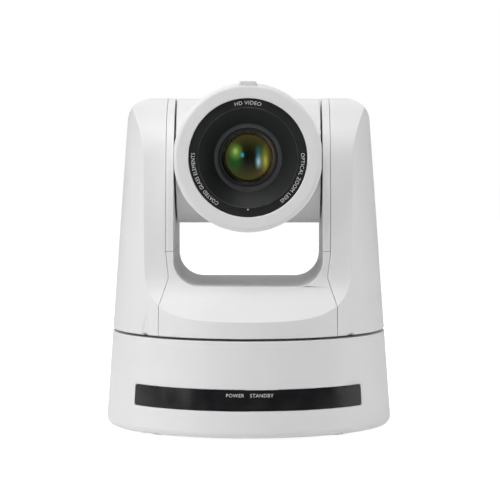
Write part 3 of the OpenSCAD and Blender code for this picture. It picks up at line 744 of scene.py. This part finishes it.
def screw_pattern():
    """Pan-head screws with a cross recess, their heads on the side that Turn gives."""
    made = Pattern(
        "screws",
        Head_radius=2.8 * MM,
        Head_height=1.6 * MM,
        Shank_radius=1.5 * MM,
        Shank_length=8.0 * MM,
        Turn=(0.0, 0.0, 0.0),
        Material=None,
    )
    radius, height = made.ask("Head radius"), made.ask("Head height")
    low = made.node(
        "GeometryNodeMeshCylinder",
        {},
        {"Vertices": 32, "Radius": radius, "Depth": made.times(height, 0.6)},
    )
    top = made.node(
        "GeometryNodeMeshCone",
        {},
        {
            "Vertices": 32,
            "Radius Top": made.times(radius, 0.72),
            "Radius Bottom": radius,
            "Depth": made.times(height, 0.4),
        },
    )
    head = made.node(
        "GeometryNodeMeshBoolean",
        {"operation": "UNION"},
        {
            "Mesh 2": [
                made.moved(low, z=made.times(height, 0.3)),
                made.moved(top, z=made.times(height, 0.6)),
            ]
        },
    )
    slots = []
    for turn in (0.0, math.pi / 2):
        size = made.node(
            "ShaderNodeCombineXYZ",
            {},
            {"X": made.times(radius, 1.05), "Y": made.times(radius, 0.24), "Z": height},
        )
        bar = made.node("GeometryNodeMeshCube", {}, {"Size": size})
        slots.append(made.moved(bar, z=made.times(height, 0.95), turn=(0, 0, turn)))
    head = made.node(
        "GeometryNodeMeshBoolean", {"operation": "DIFFERENCE"}, {"Mesh 1": head, "Mesh 2": slots}
    )
    length = made.ask("Shank length")
    shank = made.node(
        "GeometryNodeMeshCylinder",
        {},
        {"Vertices": 24, "Radius": made.ask("Shank radius"), "Depth": length},
    )
    screw = made.node(
        "GeometryNodeJoinGeometry",
        {},
        {"Geometry": [head, made.moved(shank, z=made.times(length, -0.5))]},
    )
    placed = made.node(
        "GeometryNodeInstanceOnPoints",
        {},
        {"Points": made.ask("Points"), "Instance": screw, "Rotation": made.ask("Turn")},
    )
    return made.end(placed)


def contact_pattern():
    """Rows of flat contacts along X, one row at each point."""
    made = Pattern(
        "contacts",
        Count=8,
        Pitch=1.02 * MM,
        Width=0.5 * MM,
        Length=8.0 * MM,
        Thickness=0.25 * MM,
        Material=None,
    )
    pitch, count = made.ask("Pitch"), made.ask("Count")
    step = made.node("ShaderNodeCombineXYZ", {}, {"X": pitch})
    line = made.node("GeometryNodeMeshLine", {}, {"Count": count, "Offset": step})
    size = made.node(
        "ShaderNodeCombineXYZ",
        {},
        {"X": made.ask("Width"), "Y": made.ask("Length"), "Z": made.ask("Thickness")},
    )
    bar = made.node("GeometryNodeMeshCube", {}, {"Size": size})
    row = made.node("GeometryNodeInstanceOnPoints", {}, {"Points": line, "Instance": bar})
    spread = made.node("ShaderNodeMath", {"operation": "SUBTRACT"}, {0: count, 1: 1.0})
    half = made.times(made.times(spread, pitch), -0.5)
    rows = made.node(
        "GeometryNodeInstanceOnPoints",
        {},
        {"Points": made.ask("Points"), "Instance": made.moved(row, x=half)},
    )
    return made.end(rows)


# ---------- settings ----------


class CoverSettings(bpy.types.PropertyGroup):
    corner: bpy.props.FloatProperty(
        name="Corner radius",
        description="Radius of the covers' corners",
        default=0.7 * MM,
        min=0.1 * MM,
        max=1.1 * MM,
        subtype="DISTANCE",
        unit="LENGTH",
    )
    seam_corner: bpy.props.FloatProperty(
        name="Seam corner",
        description="Radius of the yoke covers' corners, which meet at seams",
        default=0.3 * MM,
        subtype="DISTANCE",
        unit="LENGTH",
    )


class WindowSettings(bpy.types.PropertyGroup):
    corner: bpy.props.FloatProperty(
        name="Corner radius",
        description="Radius of the window's corners",
        default=1.6 * MM,
        subtype="DISTANCE",
        unit="LENGTH",
    )
    letters: bpy.props.FloatProperty(
        name="Letter height",
        description="Height of the labels on the window",
        default=2.0 * MM,
        subtype="DISTANCE",
        unit="LENGTH",
    )
    draft: bpy.props.FloatProperty(
        name="Lean",
        description="Lean of the base's outer cone from upright",
        default=math.radians(4.2),
        subtype="ANGLE",
        unit="ROTATION",
    )


class LensSettings(bpy.types.PropertyGroup):
    letters: bpy.props.FloatProperty(
        name="Letter height",
        description="Height of the letters on the name ring",
        default=2.1 * MM,
        subtype="DISTANCE",
        unit="LENGTH",
    )
    ridge: bpy.props.FloatProperty(
        name="Ridge pitch",
        description="Spacing of the fine ridges on the baffle",
        default=0.8 * MM,
        subtype="DISTANCE",
        unit="LENGTH",
    )
    bulge: bpy.props.FloatProperty(
        name="Bulge",
        description="Height of the front element's dome",
        default=4.0 * MM,
        subtype="DISTANCE",
        unit="LENGTH",
    )


class PortSettings(bpy.types.PropertyGroup):
    letters: bpy.props.FloatProperty(
        name="Label height",
        description="Height of the labels over the connectors",
        default=1.5 * MM,
        subtype="DISTANCE",
        unit="LENGTH",
    )


class StageSettings(bpy.types.PropertyGroup):
    distance: bpy.props.FloatProperty(
        name="Distance",
        description="Distance of the camera from the pan axis",
        default=1.3,
        subtype="DISTANCE",
        unit="LENGTH",
    )
    eye: bpy.props.FloatProperty(
        name="Eye height",
        description="Height of the camera above the table",
        default=0.1729,
        subtype="DISTANCE",
        unit="LENGTH",
    )
    aside: bpy.props.FloatProperty(
        name="Aside",
        description="Distance of the camera to the right of the pan axis",
        default=0.010,
        subtype="DISTANCE",
        unit="LENGTH",
    )
    tip: bpy.props.FloatProperty(
        name="Tip",
        description="How far the camera tips down",
        default=math.radians(3.06678),
        subtype="ANGLE",
        unit="ROTATION",
    )
    turn: bpy.props.FloatProperty(
        name="Turn",
        description="How far the camera looks to the right of the pan axis",
        default=math.radians(0.03414),
        subtype="ANGLE",
        unit="ROTATION",
    )
    ambient: bpy.props.FloatProperty(
        name="Ambient",
        description="Strength of the even light from all round",
        default=0.07,
    )
    focal: bpy.props.FloatProperty(
        name="Focal length",
        description="Focal length in millimetres on a 36 mm sensor",
        default=157.1,
    )


# ---------- pieces ----------


class OBJECT_OT_camera_finishes(bpy.types.Operator):
    """Give every frame node its material."""

    bl_idname = "object.camera_finishes"
    bl_label = "Frame finishes"

    def execute(self, context):
        for part in frame["record"]["subparts"]:
            node = frame["nodes"][part["node"]]
            node.data.materials.clear()
            node.data.materials.append(finish_of(part["material_slot"]))
        return {"FINISHED"}


class OBJECT_OT_camera_covers(bpy.types.Operator):
    """Make the moulded white covers with rounded corners."""

    bl_idname = "object.camera_covers"
    bl_label = "Covers"

    def execute(self, context):
        corner = context.scene.camera_covers.corner
        seam_corner = context.scene.camera_covers.seam_corner
        softened("base_cover", "base_shell", "white_cover", "base", corner)
        softened("saddle_cover", "saddle_shell", "white_cover", "yoke", seam_corner)
        softened("left_arm_cover", "left_arm_shell", "white_cover", "yoke", seam_corner)
        softened("right_arm_cover", "right_arm_shell", "white_cover", "yoke", seam_corner)
        softened("left_inner_panel", "left_inner_shell", "white_cover", "yoke", seam_corner)
        softened("right_inner_panel", "right_inner_shell", "white_cover", "yoke", seam_corner)
        softened("head_front_cover", "head_front_shell", "white_cover", "head", corner)
        softened("head_rear_cover", "head_rear_shell", "white_cover", "head", corner)
        return {"FINISHED"}


def base_radius(z, draft):
    """Radius of the base's outer cone at a height."""
    return COVER_LOW_R - z * math.tan(draft)


def window_columns(half, corner, radius):
    """Angles of the window's columns, and how much its rounded ends take off each one's height."""
    quarter, middles = 8, 48
    ends = [
        -half + corner * (1 - math.sin(math.pi / 2 * i / quarter)) / radius
        for i in range(quarter, -1, -1)
    ]
    inner = ends[-1]
    across = [inner - 2 * inner * k / middles for k in range(1, middles)]
    columns = []
    for angle in ends + across + [-a for a in reversed(ends)]:
        past = max((abs(angle) - abs(inner)) * radius, 0.0)
        columns.append((angle, corner - math.sqrt(max(corner**2 - past**2, 0.0))))
    return columns


def window_strip(window, skin):
    """The curved strip, its outer face `skin` metres inside the base's cone."""
    low, high = WINDOW_LOW.z, WINDOW_HIGH.z
    radius = base_radius((low + high) / 2, window.draft)
    half = math.asin(WINDOW_HIGH.x / base_radius(low, window.draft))
    columns = window_columns(half, window.corner, radius)
    rows = 6
    mesh = bmesh.new()
    front, back = [], []
    for sheet, depth in ((front, skin), (back, skin + WINDOW_T)):
        for angle, drop in columns:
            column = []
            for k in range(rows + 1):
                z = low + drop + (high - low - 2 * drop) * k / rows
                r = base_radius(z, window.draft) - depth
                column.append(mesh.verts.new((r * math.sin(angle), -r * math.cos(angle), z)))
            sheet.append(column)
    last = len(columns) - 1
    for i in range(last):
        for k in range(rows):
            mesh.faces.new((front[i][k], front[i + 1][k], front[i + 1][k + 1], front[i][k + 1]))
            mesh.faces.new((back[i][k + 1], back[i + 1][k + 1], back[i + 1][k], back[i][k]))
        for k in (0, rows):
            mesh.faces.new((front[i][k], front[i + 1][k], back[i + 1][k], back[i][k]))
    for i in (0, last):
        for k in range(rows):
            mesh.faces.new((front[i][k], front[i][k + 1], back[i][k + 1], back[i][k]))
    bmesh.ops.remove_doubles(mesh, verts=mesh.verts, dist=1e-7)
    bmesh.ops.recalc_face_normals(mesh, faces=mesh.faces)
    smooth(mesh, math.radians(40))
    return mesh


def window_labels(window, skin):
    """The two labels, printed on the curved window."""
    low, high = WINDOW_LOW.z, WINDOW_HIGH.z
    radius = base_radius((low + high) / 2, window.draft)
    base_line = low + (high - low) * 0.66
    labels = []
    for words, x in (("POWER", -7.1 * MM), ("STANDBY", 8.0 * MM)):

        def on_window(u, v, w, x=x):
            z = base_line + v
            r = base_radius(z, window.draft) - skin + INK_LIFT + w
            angle = (u + x) / radius
            return (r * math.sin(angle), -r * math.cos(angle), z)

        labels.append(bend(lettering(words, window.letters, 1.08), on_window))
    return joined(labels)


class OBJECT_OT_camera_window(bpy.types.Operator):
    """Make the smoked window of the base and its labels."""

    bl_idname = "object.camera_window"
    bl_label = "Front window"

    def execute(self, context):
        window = context.scene.camera_window
        skin = 0.15 * MM
        keep("window_strip", window_strip(window, skin), "smoked_window", "base", "status_window")
        labels = window_labels(window, skin)
        keep("window_labels", labels, "tally_plastic", "base", material=white_ink())
        return {"FINISHED"}


def white_ink():
    """White printing ink."""
    made = Finish("white_ink")
    fine = made.grain(0.4 * MM, 2.0)
    made.coat(
        Base_Color=made.blend(fine, (0.66, 0.66, 0.66), (0.78, 0.78, 0.78)),
        Roughness=made.ramp(fine, 0.3, 0.7, 0.5, 0.6),
    )
    return made.material


def coated_glass():
    """The coated element behind the front one, with painted coloured reflections of the lights glowing
    from its surface.
    """
    made = Finish("coated_glass")
    where = made.place((0.0, 0.0, LENS_Z), stretch=(1 / MM, 1 / MM, 1 / MM))
    x = made.part(where, "X")
    z = made.part(where, "Z")

    def spot(at_x, at_z, wide, high, power=1.6):
        """A soft oval of painted reflection, its place and half sizes in millimetres from the lens axis.
        """
        across = (x - at_x) / wide
        up = (z - at_z) / high
        far = (across * across + up * up) ** 0.5
        return made.ramp(far, 1.0, 0.0) ** power

    # Painted reflections: a painted olive glow towards the rim, then green, cyan, yellow, blue and red
    # ovals standing for reflected lights
    painted_olive_glow = made.blend(spot(0.0, 0.0, 15.0, 15.0, 0.5), (0.10, 0.09, 0.02), (0.004, 0.006, 0.004))
    tone = made.blend(spot(-7.6, -2.0, 6.6, 10.5, 1.0), painted_olive_glow, (0.012, 0.10, 0.018))
    tone = made.blend(spot(-7.2, 3.2, 5.2, 6.4, 1.0), tone, (0.20, 0.42, 0.07))
    tone = made.blend(spot(-7.4, 3.6, 2.4, 3.2), tone, (0.50, 0.66, 0.18))
    tone = made.blend(spot(-3.4, 1.3, 1.9, 2.6), tone, (0.08, 0.50, 0.62))
    tone = made.blend(spot(9.6, -1.6, 3.4, 10.5, 0.9), tone, (0.30, 0.30, 0.035))
    tone = made.blend(spot(10.0, -2.0, 1.9, 5.5), tone, (0.52, 0.50, 0.10))
    tone = made.blend(spot(6.2, 3.2, 3.0, 5.5, 1.2), tone, (0.02, 0.16, 0.15))
    tone = made.blend(spot(6.0, -2.4, 2.6, 6.2, 1.1), tone, (0.26, 0.50, 0.56))
    tone = made.blend(spot(6.0, -2.6, 1.4, 3.6), tone, (0.52, 0.74, 0.82))
    tone = made.blend(spot(7.4, -9.0, 2.6, 2.4), tone, (0.20, 0.06, 0.02))
    # The painted reflections go in as emission, so the element glows though it is no lamp
    made.coat(
        Base_Color=(0.004, 0.004, 0.004),
        Roughness=0.2,
        Specular_IOR_Level=0.12,
        Emission_Color=tone,
        Emission_Strength=0.75,
    )
    return made.material


def film_gold():
    """Olive and gold film on the rims of the glass, darker towards the outer edge, with a painted peach
    reflection on the right side.
    """
    made = Finish("film_gold")
    spread = made.length(made.place((0.0, 0.0, LENS_Z), stretch=(1, 0, 1)))
    inner = made.ramp(spread, GLASS_R, GLASS_R * 0.84)
    # Painted peach reflection, growing towards the right side
    right_painted_reflection = made.ramp(made.part(made.place(), "X"), 0.004, 0.014)
    tone = made.blend(inner, (0.008, 0.008, 0.004), (0.085, 0.075, 0.020))
    made.coat(
        Base_Color=made.blend(right_painted_reflection, tone, (0.20, 0.13, 0.07)),
        Roughness=made.ramp(made.grain(0.5 * MM), 0.3, 0.7, 0.22, 0.34),
        Specular_IOR_Level=0.6,
        Metallic=0.35,
    )
    return made.material


def domed(radius, edge, rise, depth, steps):
    """Outline of an element with a domed front: its rim at `edge`, its flat back `depth` behind."""
    curve = (radius**2 + rise**2) / (2 * rise)
    outline = [(radius, edge - depth), (radius, edge)]
    for k in range(1, steps + 1):
        r = radius * (1 - k / steps)
        outline.append((r, edge + math.sqrt(curve**2 - r**2) - (curve - rise)))
    return outline + [(0, edge - depth)]


def ring_section(outer, inner, front, back, corner):
    """Outline of a plain ring with rounded corners."""
    return rounded([(outer, back), (outer, front), (inner, front), (inner, back)], corner)


# Words on the name ring, their middle and the arc they fill, in degrees from the top
RING_WORDS = (
    ("HD VIDEO", 0.0, 28.0),
    ("OPTICAL ZOOM LENS", 114.0, 58.0),
    ("COATED GLASS ELEMENTS", 244.0, 62.0),
)


def ring_words(lens):
    """The words round the name ring, and its index mark."""
    base_line = (RING_R + RING_IN) / 2 - lens.letters / 2 + 0.1 * MM
    words = []
    for text, middle_deg, arc_deg in RING_WORDS:
        flat = lettering(text, lens.letters, 1.1)
        wide = max(v.co.x for v in flat.verts) - min(v.co.x for v in flat.verts)
        turn_each = math.radians(arc_deg) / wide

        def on_ring(u, v, w, middle_deg=middle_deg, turn_each=turn_each):
            angle = math.radians(middle_deg) + u * turn_each
            r = base_line + v
            front = RING_FRONT + INK_LIFT + w
            return (r * math.sin(angle), -front, LENS_Z + r * math.cos(angle))

        words.append(bend(flat, on_ring))
    words.append(index_mark())
    for mesh in words:
        bmesh.ops.recalc_face_normals(mesh, faces=mesh.faces)
    return joined(words)


def index_mark():
    """The small triangle at the foot of the name ring."""
    mark = bmesh.new()
    half = 0.6 * MM
    top, tip = LENS_Z - RING_IN - 0.6 * MM, LENS_Z - RING_IN - 1.5 * MM
    back, face = (
        [
            mark.verts.new((x, -(RING_FRONT + lift), z))
            for x, z in ((-half, top), (half, top), (0.0, tip))
        ]
        for lift in (-0.01 * MM, 0.04 * MM)
    )
    mark.faces.new(back)
    mark.faces.new(face[::-1])
    for i in range(3):
        j = (i + 1) % 3
        mark.faces.new((back[i], back[j], face[j], face[i]))
    return mark


def baffle_section(pitch):
    """Outline of the ridged cone between the name ring and the glass."""
    deep = CONE_BACK - RING_BACK
    count = max(int(-deep / pitch), 4)
    outline = []
    for k in range(count):
        for part, lift in ((0.0, 0.0), (0.75, 0.0), (0.8, 0.12 * MM)):
            t = (k + part) / count
            outline.append((RING_IN + (CONE_IN - RING_IN) * t + lift, RING_BACK + deep * t))
    thick = 1.2 * MM
    return outline + [
        (CONE_IN, CONE_BACK),
        (CONE_IN + thick, CONE_BACK),
        (RING_IN + thick, RING_BACK - 0.3 * MM),
        (RING_IN + thick, RING_BACK),
    ]


def film_section():
    """Outline of the stepped, film-coated rim between the two elements."""
    outer = GLASS_R - 0.05 * MM
    back = FILM_FRONT - 2.5 * MM
    return [
        (outer, back),
        (outer, FILM_FRONT),
        (14.1 * MM, FILM_FRONT - 0.6 * MM),
        (13.95 * MM, FILM_FRONT - 0.35 * MM),
        (13.6 * MM, FILM_FRONT - 0.35 * MM),
        (13.45 * MM, FILM_FRONT - 0.9 * MM),
        (13.1 * MM, FILM_FRONT - 0.95 * MM),
        (FILM_HOLE, FILM_FRONT - 1.2 * MM),
        (FILM_HOLE, back),
    ]


class OBJECT_OT_camera_lens(bpy.types.Operator):
    """Make the name ring, the baffle, the glass and their rings."""

    bl_idname = "object.camera_lens"
    bl_label = "Lens"

    def execute(self, context):
        lens = context.scene.camera_lens

        def ring(name, outline, slot, *nodes, steps=128, material=None):
            keep(name, turned(outline, LENS_CENTRE, steps), slot, "head", *nodes, material=material)

        face = ring_section(RING_R, RING_IN, RING_FRONT, RING_BACK, 0.25 * MM)
        ring("name_ring_face", face, "lens_black", "name_ring", steps=160)
        # A thin grey ring at the name ring's inner edge, standing in for the highlight on that edge
        line_front = RING_FRONT + 0.03 * MM
        line = ring_section(
            RING_IN + 0.12 * MM, RING_IN - 0.16 * MM, line_front, RING_FRONT - 0.5 * MM, 0.1 * MM
        )
        ring("name_ring_line", line, "ring_grey", steps=160)
        words = ring_words(lens)
        keep("name_ring_words", words, "tally_plastic", "head", material=white_ink())
        ring("baffle_cone", baffle_section(lens.ridge), "lens_black", "lens_baffle")

        seat_r = GLASS_R + 1.7 * MM
        rim = ring_section(RIM_R, seat_r, RIM_FRONT, RIM_BACK, 0.35 * MM)
        ring("glass_rim", rim, "ring_grey", "lens_ring")
        seat = ring_section(
            seat_r, GLASS_R + 0.65 * MM, RIM_FRONT - 0.9 * MM, RIM_BACK + 0.1 * MM, 0.2 * MM
        )
        ring("glass_seat", seat, "lens_black")

        front = domed(GLASS_R, GLASS_EDGE, lens.bulge, 2.0 * MM, 16)
        ring("front_element", front, "lens_glass", "front_glass", steps=96)
        ring("film_rings", film_section(), "ring_grey", material=film_gold())
        inner = domed(FILM_HOLE + 0.6 * MM, FILM_FRONT - 2.3 * MM, 1.4 * MM, 1.5 * MM, 12)
        ring("coated_element", inner, "lens_glass", steps=96, material=coated_glass())
        return {"FINISHED"}


class OBJECT_OT_camera_tally(bpy.types.Operator):
    """Make the frosted lamp on top of the lens housing."""

    bl_idname = "object.camera_tally"
    bl_label = "Tally lamp"

    def execute(self, context):
        softened("tally_lamp", "tally_lens", "tally_plastic", "head", 0.7 * MM, 4)
        return {"FINISHED"}


def screw_seats(boxes, height, top):
    """Points under the heads of upright screws, their heads at the top or at the bottom."""
    return [
        Vector(((a.x + b.x) / 2, (a.y + b.y) / 2, b.z - height if top else a.z + height))
        for a, b in boxes
    ]


class OBJECT_OT_camera_screws(bpy.types.Operator):
    """Make the screws of the base plate, the yoke and the head."""

    bl_idname = "object.camera_screws"
    bl_label = "Screws"

    def execute(self, context):
        tree = screw_pattern()
        steel = finish_of("screw_steel")
        height = 1.6 * MM
        for name, node, body, top in (
            ("base_screw_set", "base_screws", "base", False),
            ("yoke_screw_set", "yoke_screws", "yoke", True),
        ):
            boxes = islands(node)
            low, high = boxes[0]
            turn = (0.0 if top else math.pi, 0.0, 0.0)
            seats = screw_seats(boxes, height, top)
            mesh = grown(tree, seats, steel, Turn=turn, Shank_length=high.z - low.z - height)
            keep(name, mesh, "screw_steel", body, node)

        small = 1.1 * MM
        sides = []
        for side in (-1, 1):
            seats = []
            for a, b in islands("head_screws"):
                if (a.x + b.x) * side > 0:
                    inner = min(abs(a.x), abs(b.x)) + small
                    seats.append(Vector((side * inner, (a.y + b.y) / 2, (a.z + b.z) / 2)))
            sizes = {
                "Turn": (0.0, -side * math.pi / 2, 0.0),
                "Head_radius": 1.45 * MM,
                "Head_height": small,
                "Shank_radius": 0.98 * MM,
                "Shank_length": 3.8 * MM,
            }
            sides.append(grown(tree, seats, steel, **sizes))
        keep("head_screw_set", joined(sides), "screw_steel", "head", "head_screws")
        return {"FINISHED"}


def foot_section(radius, tall):
    """Outline of a foot with two grooves in its sole and a rounded lower edge."""
    outline = [(0, 0.0)]
    for groove in (0.38, 0.68):
        for out, lift in ((0.0, 0.0), (0.3, 0.35), (0.7, 0.35), (1.0, 0.0)):
            outline.append((radius * groove + out * MM, lift * MM))
    edge, steps = 0.7 * MM, 5
    for k in range(steps + 1):
        turn = math.pi / 2 * k / steps
        outline.append((radius - edge + edge * math.sin(turn), edge - edge * math.cos(turn)))
    return outline + [(radius, tall), (0, tall)]


class OBJECT_OT_camera_feet(bpy.types.Operator):
    """Make the rubber feet with their grooved soles."""

    bl_idname = "object.camera_feet"
    bl_label = "Feet"

    def execute(self, context):
        feet = []
        for low, high in islands("rubber_feet"):
            outline = foot_section((high.x - low.x) / 2, high.z - low.z)
            middle = ((low.x + high.x) / 2, (low.y + high.y) / 2, low.z)
            feet.append(turned(outline, middle, 64, upright=True))
        keep("foot_set", joined(feet), "rubber", "base", "rubber_feet")
        return {"FINISHED"}


# Labels over the connectors at the back: words, the node below them
PORT_LABELS = (
    ("VIDEO 1", "sdi_socket"),
    ("VIDEO 2", "hdmi_socket"),
    ("LAN", "network_socket"),
    ("CONTROL", "control_socket"),
    ("DC IN", "dc_inlet"),
    ("DATA", "usb_socket"),
    ("AUDIO", "audio_socket"),
)


# Sockets in the panel, and their finishes
PORTS = (
    ("sdi_socket", "connector_metal"),
    ("hdmi_socket", "connector_metal"),
    ("network_socket", "connector_metal"),
    ("usb_socket", "connector_metal"),
    ("dc_inlet", "dark_plastic"),
    ("audio_socket", "dark_plastic"),
    ("control_socket", "dark_plastic"),
)


def port_contacts():
    """The gold contacts of the network and video sockets."""
    tree = contact_pattern()
    gold = finish_of("brass_insert")
    low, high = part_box("network_socket")
    row = Vector(((low.x + high.x) / 2, high.y - 6.0 * MM, (low.z + high.z) / 2 - 4.25 * MM))
    rows = [grown(tree, [row], gold, Length=9.0 * MM)]
    low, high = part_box("hdmi_socket")
    sizes = {"Count": 10, "Pitch": 1.0 * MM, "Length": 8.0 * MM, "Thickness": 0.12 * MM}
    for lift in (-1.05 * MM, 0.2 * MM):
        row = Vector(((low.x + high.x) / 2, high.y - 6.5 * MM, (low.z + high.z) / 2 + lift))
        rows.append(grown(tree, [row], gold, **sizes))
    return joined(rows)


def port_labels(height):
    """A printed label over each socket."""
    labels = []
    for words, node in PORT_LABELS:
        low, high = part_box(node)
        x, z = (low.x + high.x) / 2, high.z + 0.7 * MM

        def on_panel(u, v, w, x=x, z=z):
            return (x - u, PANEL_FACE + INK_LIFT + w, z + v)

        label = bend(lettering(words, height, 1.05), on_panel)
        bmesh.ops.recalc_face_normals(label, faces=label.faces)
        labels.append(label)
    return joined(labels)


class OBJECT_OT_camera_connectors(bpy.types.Operator):
    """Make the connector panel, its sockets, their contacts and the labels."""

    bl_idname = "object.camera_connectors"
    bl_label = "Connectors"

    def execute(self, context):
        softened("connector_panel", "port_panel", "dark_plastic", "base", 0.25 * MM, 2)
        for node, slot in PORTS:
            softened(node, node.split("_")[0] + "_port", slot, "base", 0.15 * MM, 2)
        keep("port_contacts", port_contacts(), "brass_insert", "base")
        labels = port_labels(context.scene.camera_ports.letters)
        keep("port_labels", labels, "tally_plastic", "base", material=white_ink())
        return {"FINISHED"}


# Softboxes: name, azimuth and elevation in degrees, watts
SOFTBOXES = (
    ("left_low", -90, 12, 2.3),
    ("left_front", -60, 12, 3.1),
    ("right_low", 90, 12, 6.4),
    ("left_high", -60, 45, 4.4),
    ("left_top", -75, 70, 5.6),
    ("front_top", 0, 65, 11.0),
    ("rear_left", -135, 35, 2.4),
    ("rear_right", 135, 35, 2.2),
    ("rear", 180, 40, 1.8),
)
SOFTBOX_SIZE = 0.8
SOFTBOX_AWAY = 1.6
LIT_CENTRE = Vector((0, 0, 0.11))
FLOOR_REACH = 6.0
FLOOR_CORNERS = ((-1, -1), (1, -1), (1, 1), (-1, 1))


def floor_sheet(name, drop, glow, seen):
    """A pale sheet, either seen by the camera alone or giving light back to the piece alone."""
    sheet = bpy.data.meshes.new(name)
    corners = [(x * FLOOR_REACH, y * FLOOR_REACH, drop) for x, y in FLOOR_CORNERS]
    sheet.from_pydata(corners, [], [(0, 1, 2, 3)])
    paper = Finish(name)
    paper.coat(
        Base_Color=(0.86, 0.86, 0.86),
        Roughness=0.9,
        Emission_Color=(1.0, 1.0, 1.0),
        Emission_Strength=glow,
    )
    sheet.materials.append(paper.material)
    floor = bpy.data.objects.new(name, sheet)
    floor.visible_camera = floor.visible_transmission = seen
    floor.visible_diffuse = floor.visible_glossy = floor.visible_shadow = not seen
    bpy.context.scene.collection.objects.link(floor)


def studio_world(ambient):
    """White as a backdrop, and an even light of the given strength on the piece."""
    world = bpy.data.worlds.new("studio")
    world.use_nodes = True
    tree = world.node_tree
    tree.nodes.clear()
    path = tree.nodes.new("ShaderNodeLightPath")
    mix = tree.nodes.new("ShaderNodeMixShader")
    tree.links.new(path.outputs["Is Camera Ray"], mix.inputs[0])
    for place, strength in ((1, ambient), (2, 1.0)):
        shade = tree.nodes.new("ShaderNodeBackground")
        shade.inputs["Color"].default_value = (1, 1, 1, 1)
        shade.inputs["Strength"].default_value = strength
        tree.links.new(shade.outputs[0], mix.inputs[place])
    out = tree.nodes.new("ShaderNodeOutputWorld")
    tree.links.new(mix.outputs[0], out.inputs[0])
    return world


def softbox(name, azimuth, elevation, power):
    """A square soft light that faces the piece; azimuth 0 is the front."""
    turn, lift = math.radians(azimuth), math.radians(elevation)
    away = Vector(
        (math.sin(turn) * math.cos(lift), -math.cos(turn) * math.cos(lift), math.sin(lift))
    )
    lamp = bpy.data.lights.new(name, "AREA")
    lamp.shape = "SQUARE"
    lamp.size = SOFTBOX_SIZE
    lamp.energy = power
    light = bpy.data.objects.new(name, lamp)
    light.location = LIT_CENTRE + away * SOFTBOX_AWAY
    light.rotation_euler = (-away).to_track_quat("-Z", "Y").to_euler()
    bpy.context.scene.collection.objects.link(light)


def viewpoint(stage):
    """The camera, a little above the lens, tipped down and turned back towards the pan axis."""
    lens = bpy.data.cameras.new("view")
    lens.sensor_width = 36.0
    lens.lens = stage.focal
    lens.clip_start = 0.05
    lens.clip_end = 20.0
    view = bpy.data.objects.new("view", lens)
    view.location = (stage.aside, -stage.distance, stage.eye)
    turn = math.atan(stage.aside / stage.distance) - stage.turn
    view.rotation_euler = (math.pi / 2 - stage.tip, 0, turn)
    bpy.context.scene.collection.objects.link(view)
    return view


class OBJECT_OT_camera_stage(bpy.types.Operator):
    """Make the floor, the lights and the camera."""

    bl_idname = "object.camera_stage"
    bl_label = "Stage"

    def execute(self, context):
        scene = context.scene
        stage = scene.camera_stage
        floor_sheet("floor_seen", 0.0, 0.93, True)
        floor_sheet("floor_bounce", -0.5 * MM, 0.05, False)
        scene.world = studio_world(stage.ambient)
        for box in SOFTBOXES:
            softbox(*box)
        scene.camera = viewpoint(stage)
        scene.view_settings.view_transform = "Standard"
        scene.view_settings.look = "None"
        return {"FINISHED"}


class VIEW3D_PT_camera(bpy.types.Panel):
    """Lists the camera's pieces."""

    bl_idname = "VIEW3D_PT_camera"
    bl_label = "Pan and tilt camera"
    bl_space_type = "VIEW_3D"
    bl_region_type = "UI"
    bl_category = "Camera"

    def draw(self, context):
        for group, _ in SETTINGS:
            box = self.layout.box()
            settings = getattr(context.scene, group)
            for name in settings.bl_rna.properties.keys():
                if name not in ("rna_type", "name"):
                    box.prop(settings, name)
        for operator in OPERATORS:
            self.layout.operator(operator.bl_idname)


SETTINGS = (
    ("camera_covers", CoverSettings),
    ("camera_window", WindowSettings),
    ("camera_lens", LensSettings),
    ("camera_ports", PortSettings),
    ("camera_stage", StageSettings),
)
OPERATORS = (
    OBJECT_OT_camera_finishes,
    OBJECT_OT_camera_covers,
    OBJECT_OT_camera_window,
    OBJECT_OT_camera_lens,
    OBJECT_OT_camera_tally,
    OBJECT_OT_camera_connectors,
    OBJECT_OT_camera_screws,
    OBJECT_OT_camera_feet,
    OBJECT_OT_camera_stage,
)


def register():
    for _, group in SETTINGS:
        bpy.utils.register_class(group)
    for operator in OPERATORS:
        bpy.utils.register_class(operator)
    bpy.utils.register_class(VIEW3D_PT_camera)
    for name, group in SETTINGS:
        setattr(bpy.types.Scene, name, bpy.props.PointerProperty(type=group))


def unregister():
    for name, _ in reversed(SETTINGS):
        delattr(bpy.types.Scene, name)
    bpy.utils.unregister_class(VIEW3D_PT_camera)
    for operator in reversed(OPERATORS):
        bpy.utils.unregister_class(operator)
    for _, group in reversed(SETTINGS):
        bpy.utils.unregister_class(group)


def main():
    register()
    for operator in OPERATORS:
        group, name = operator.bl_idname.split(".")
        getattr(getattr(bpy.ops, group), name)()


if __name__ == "__main__":
    main()
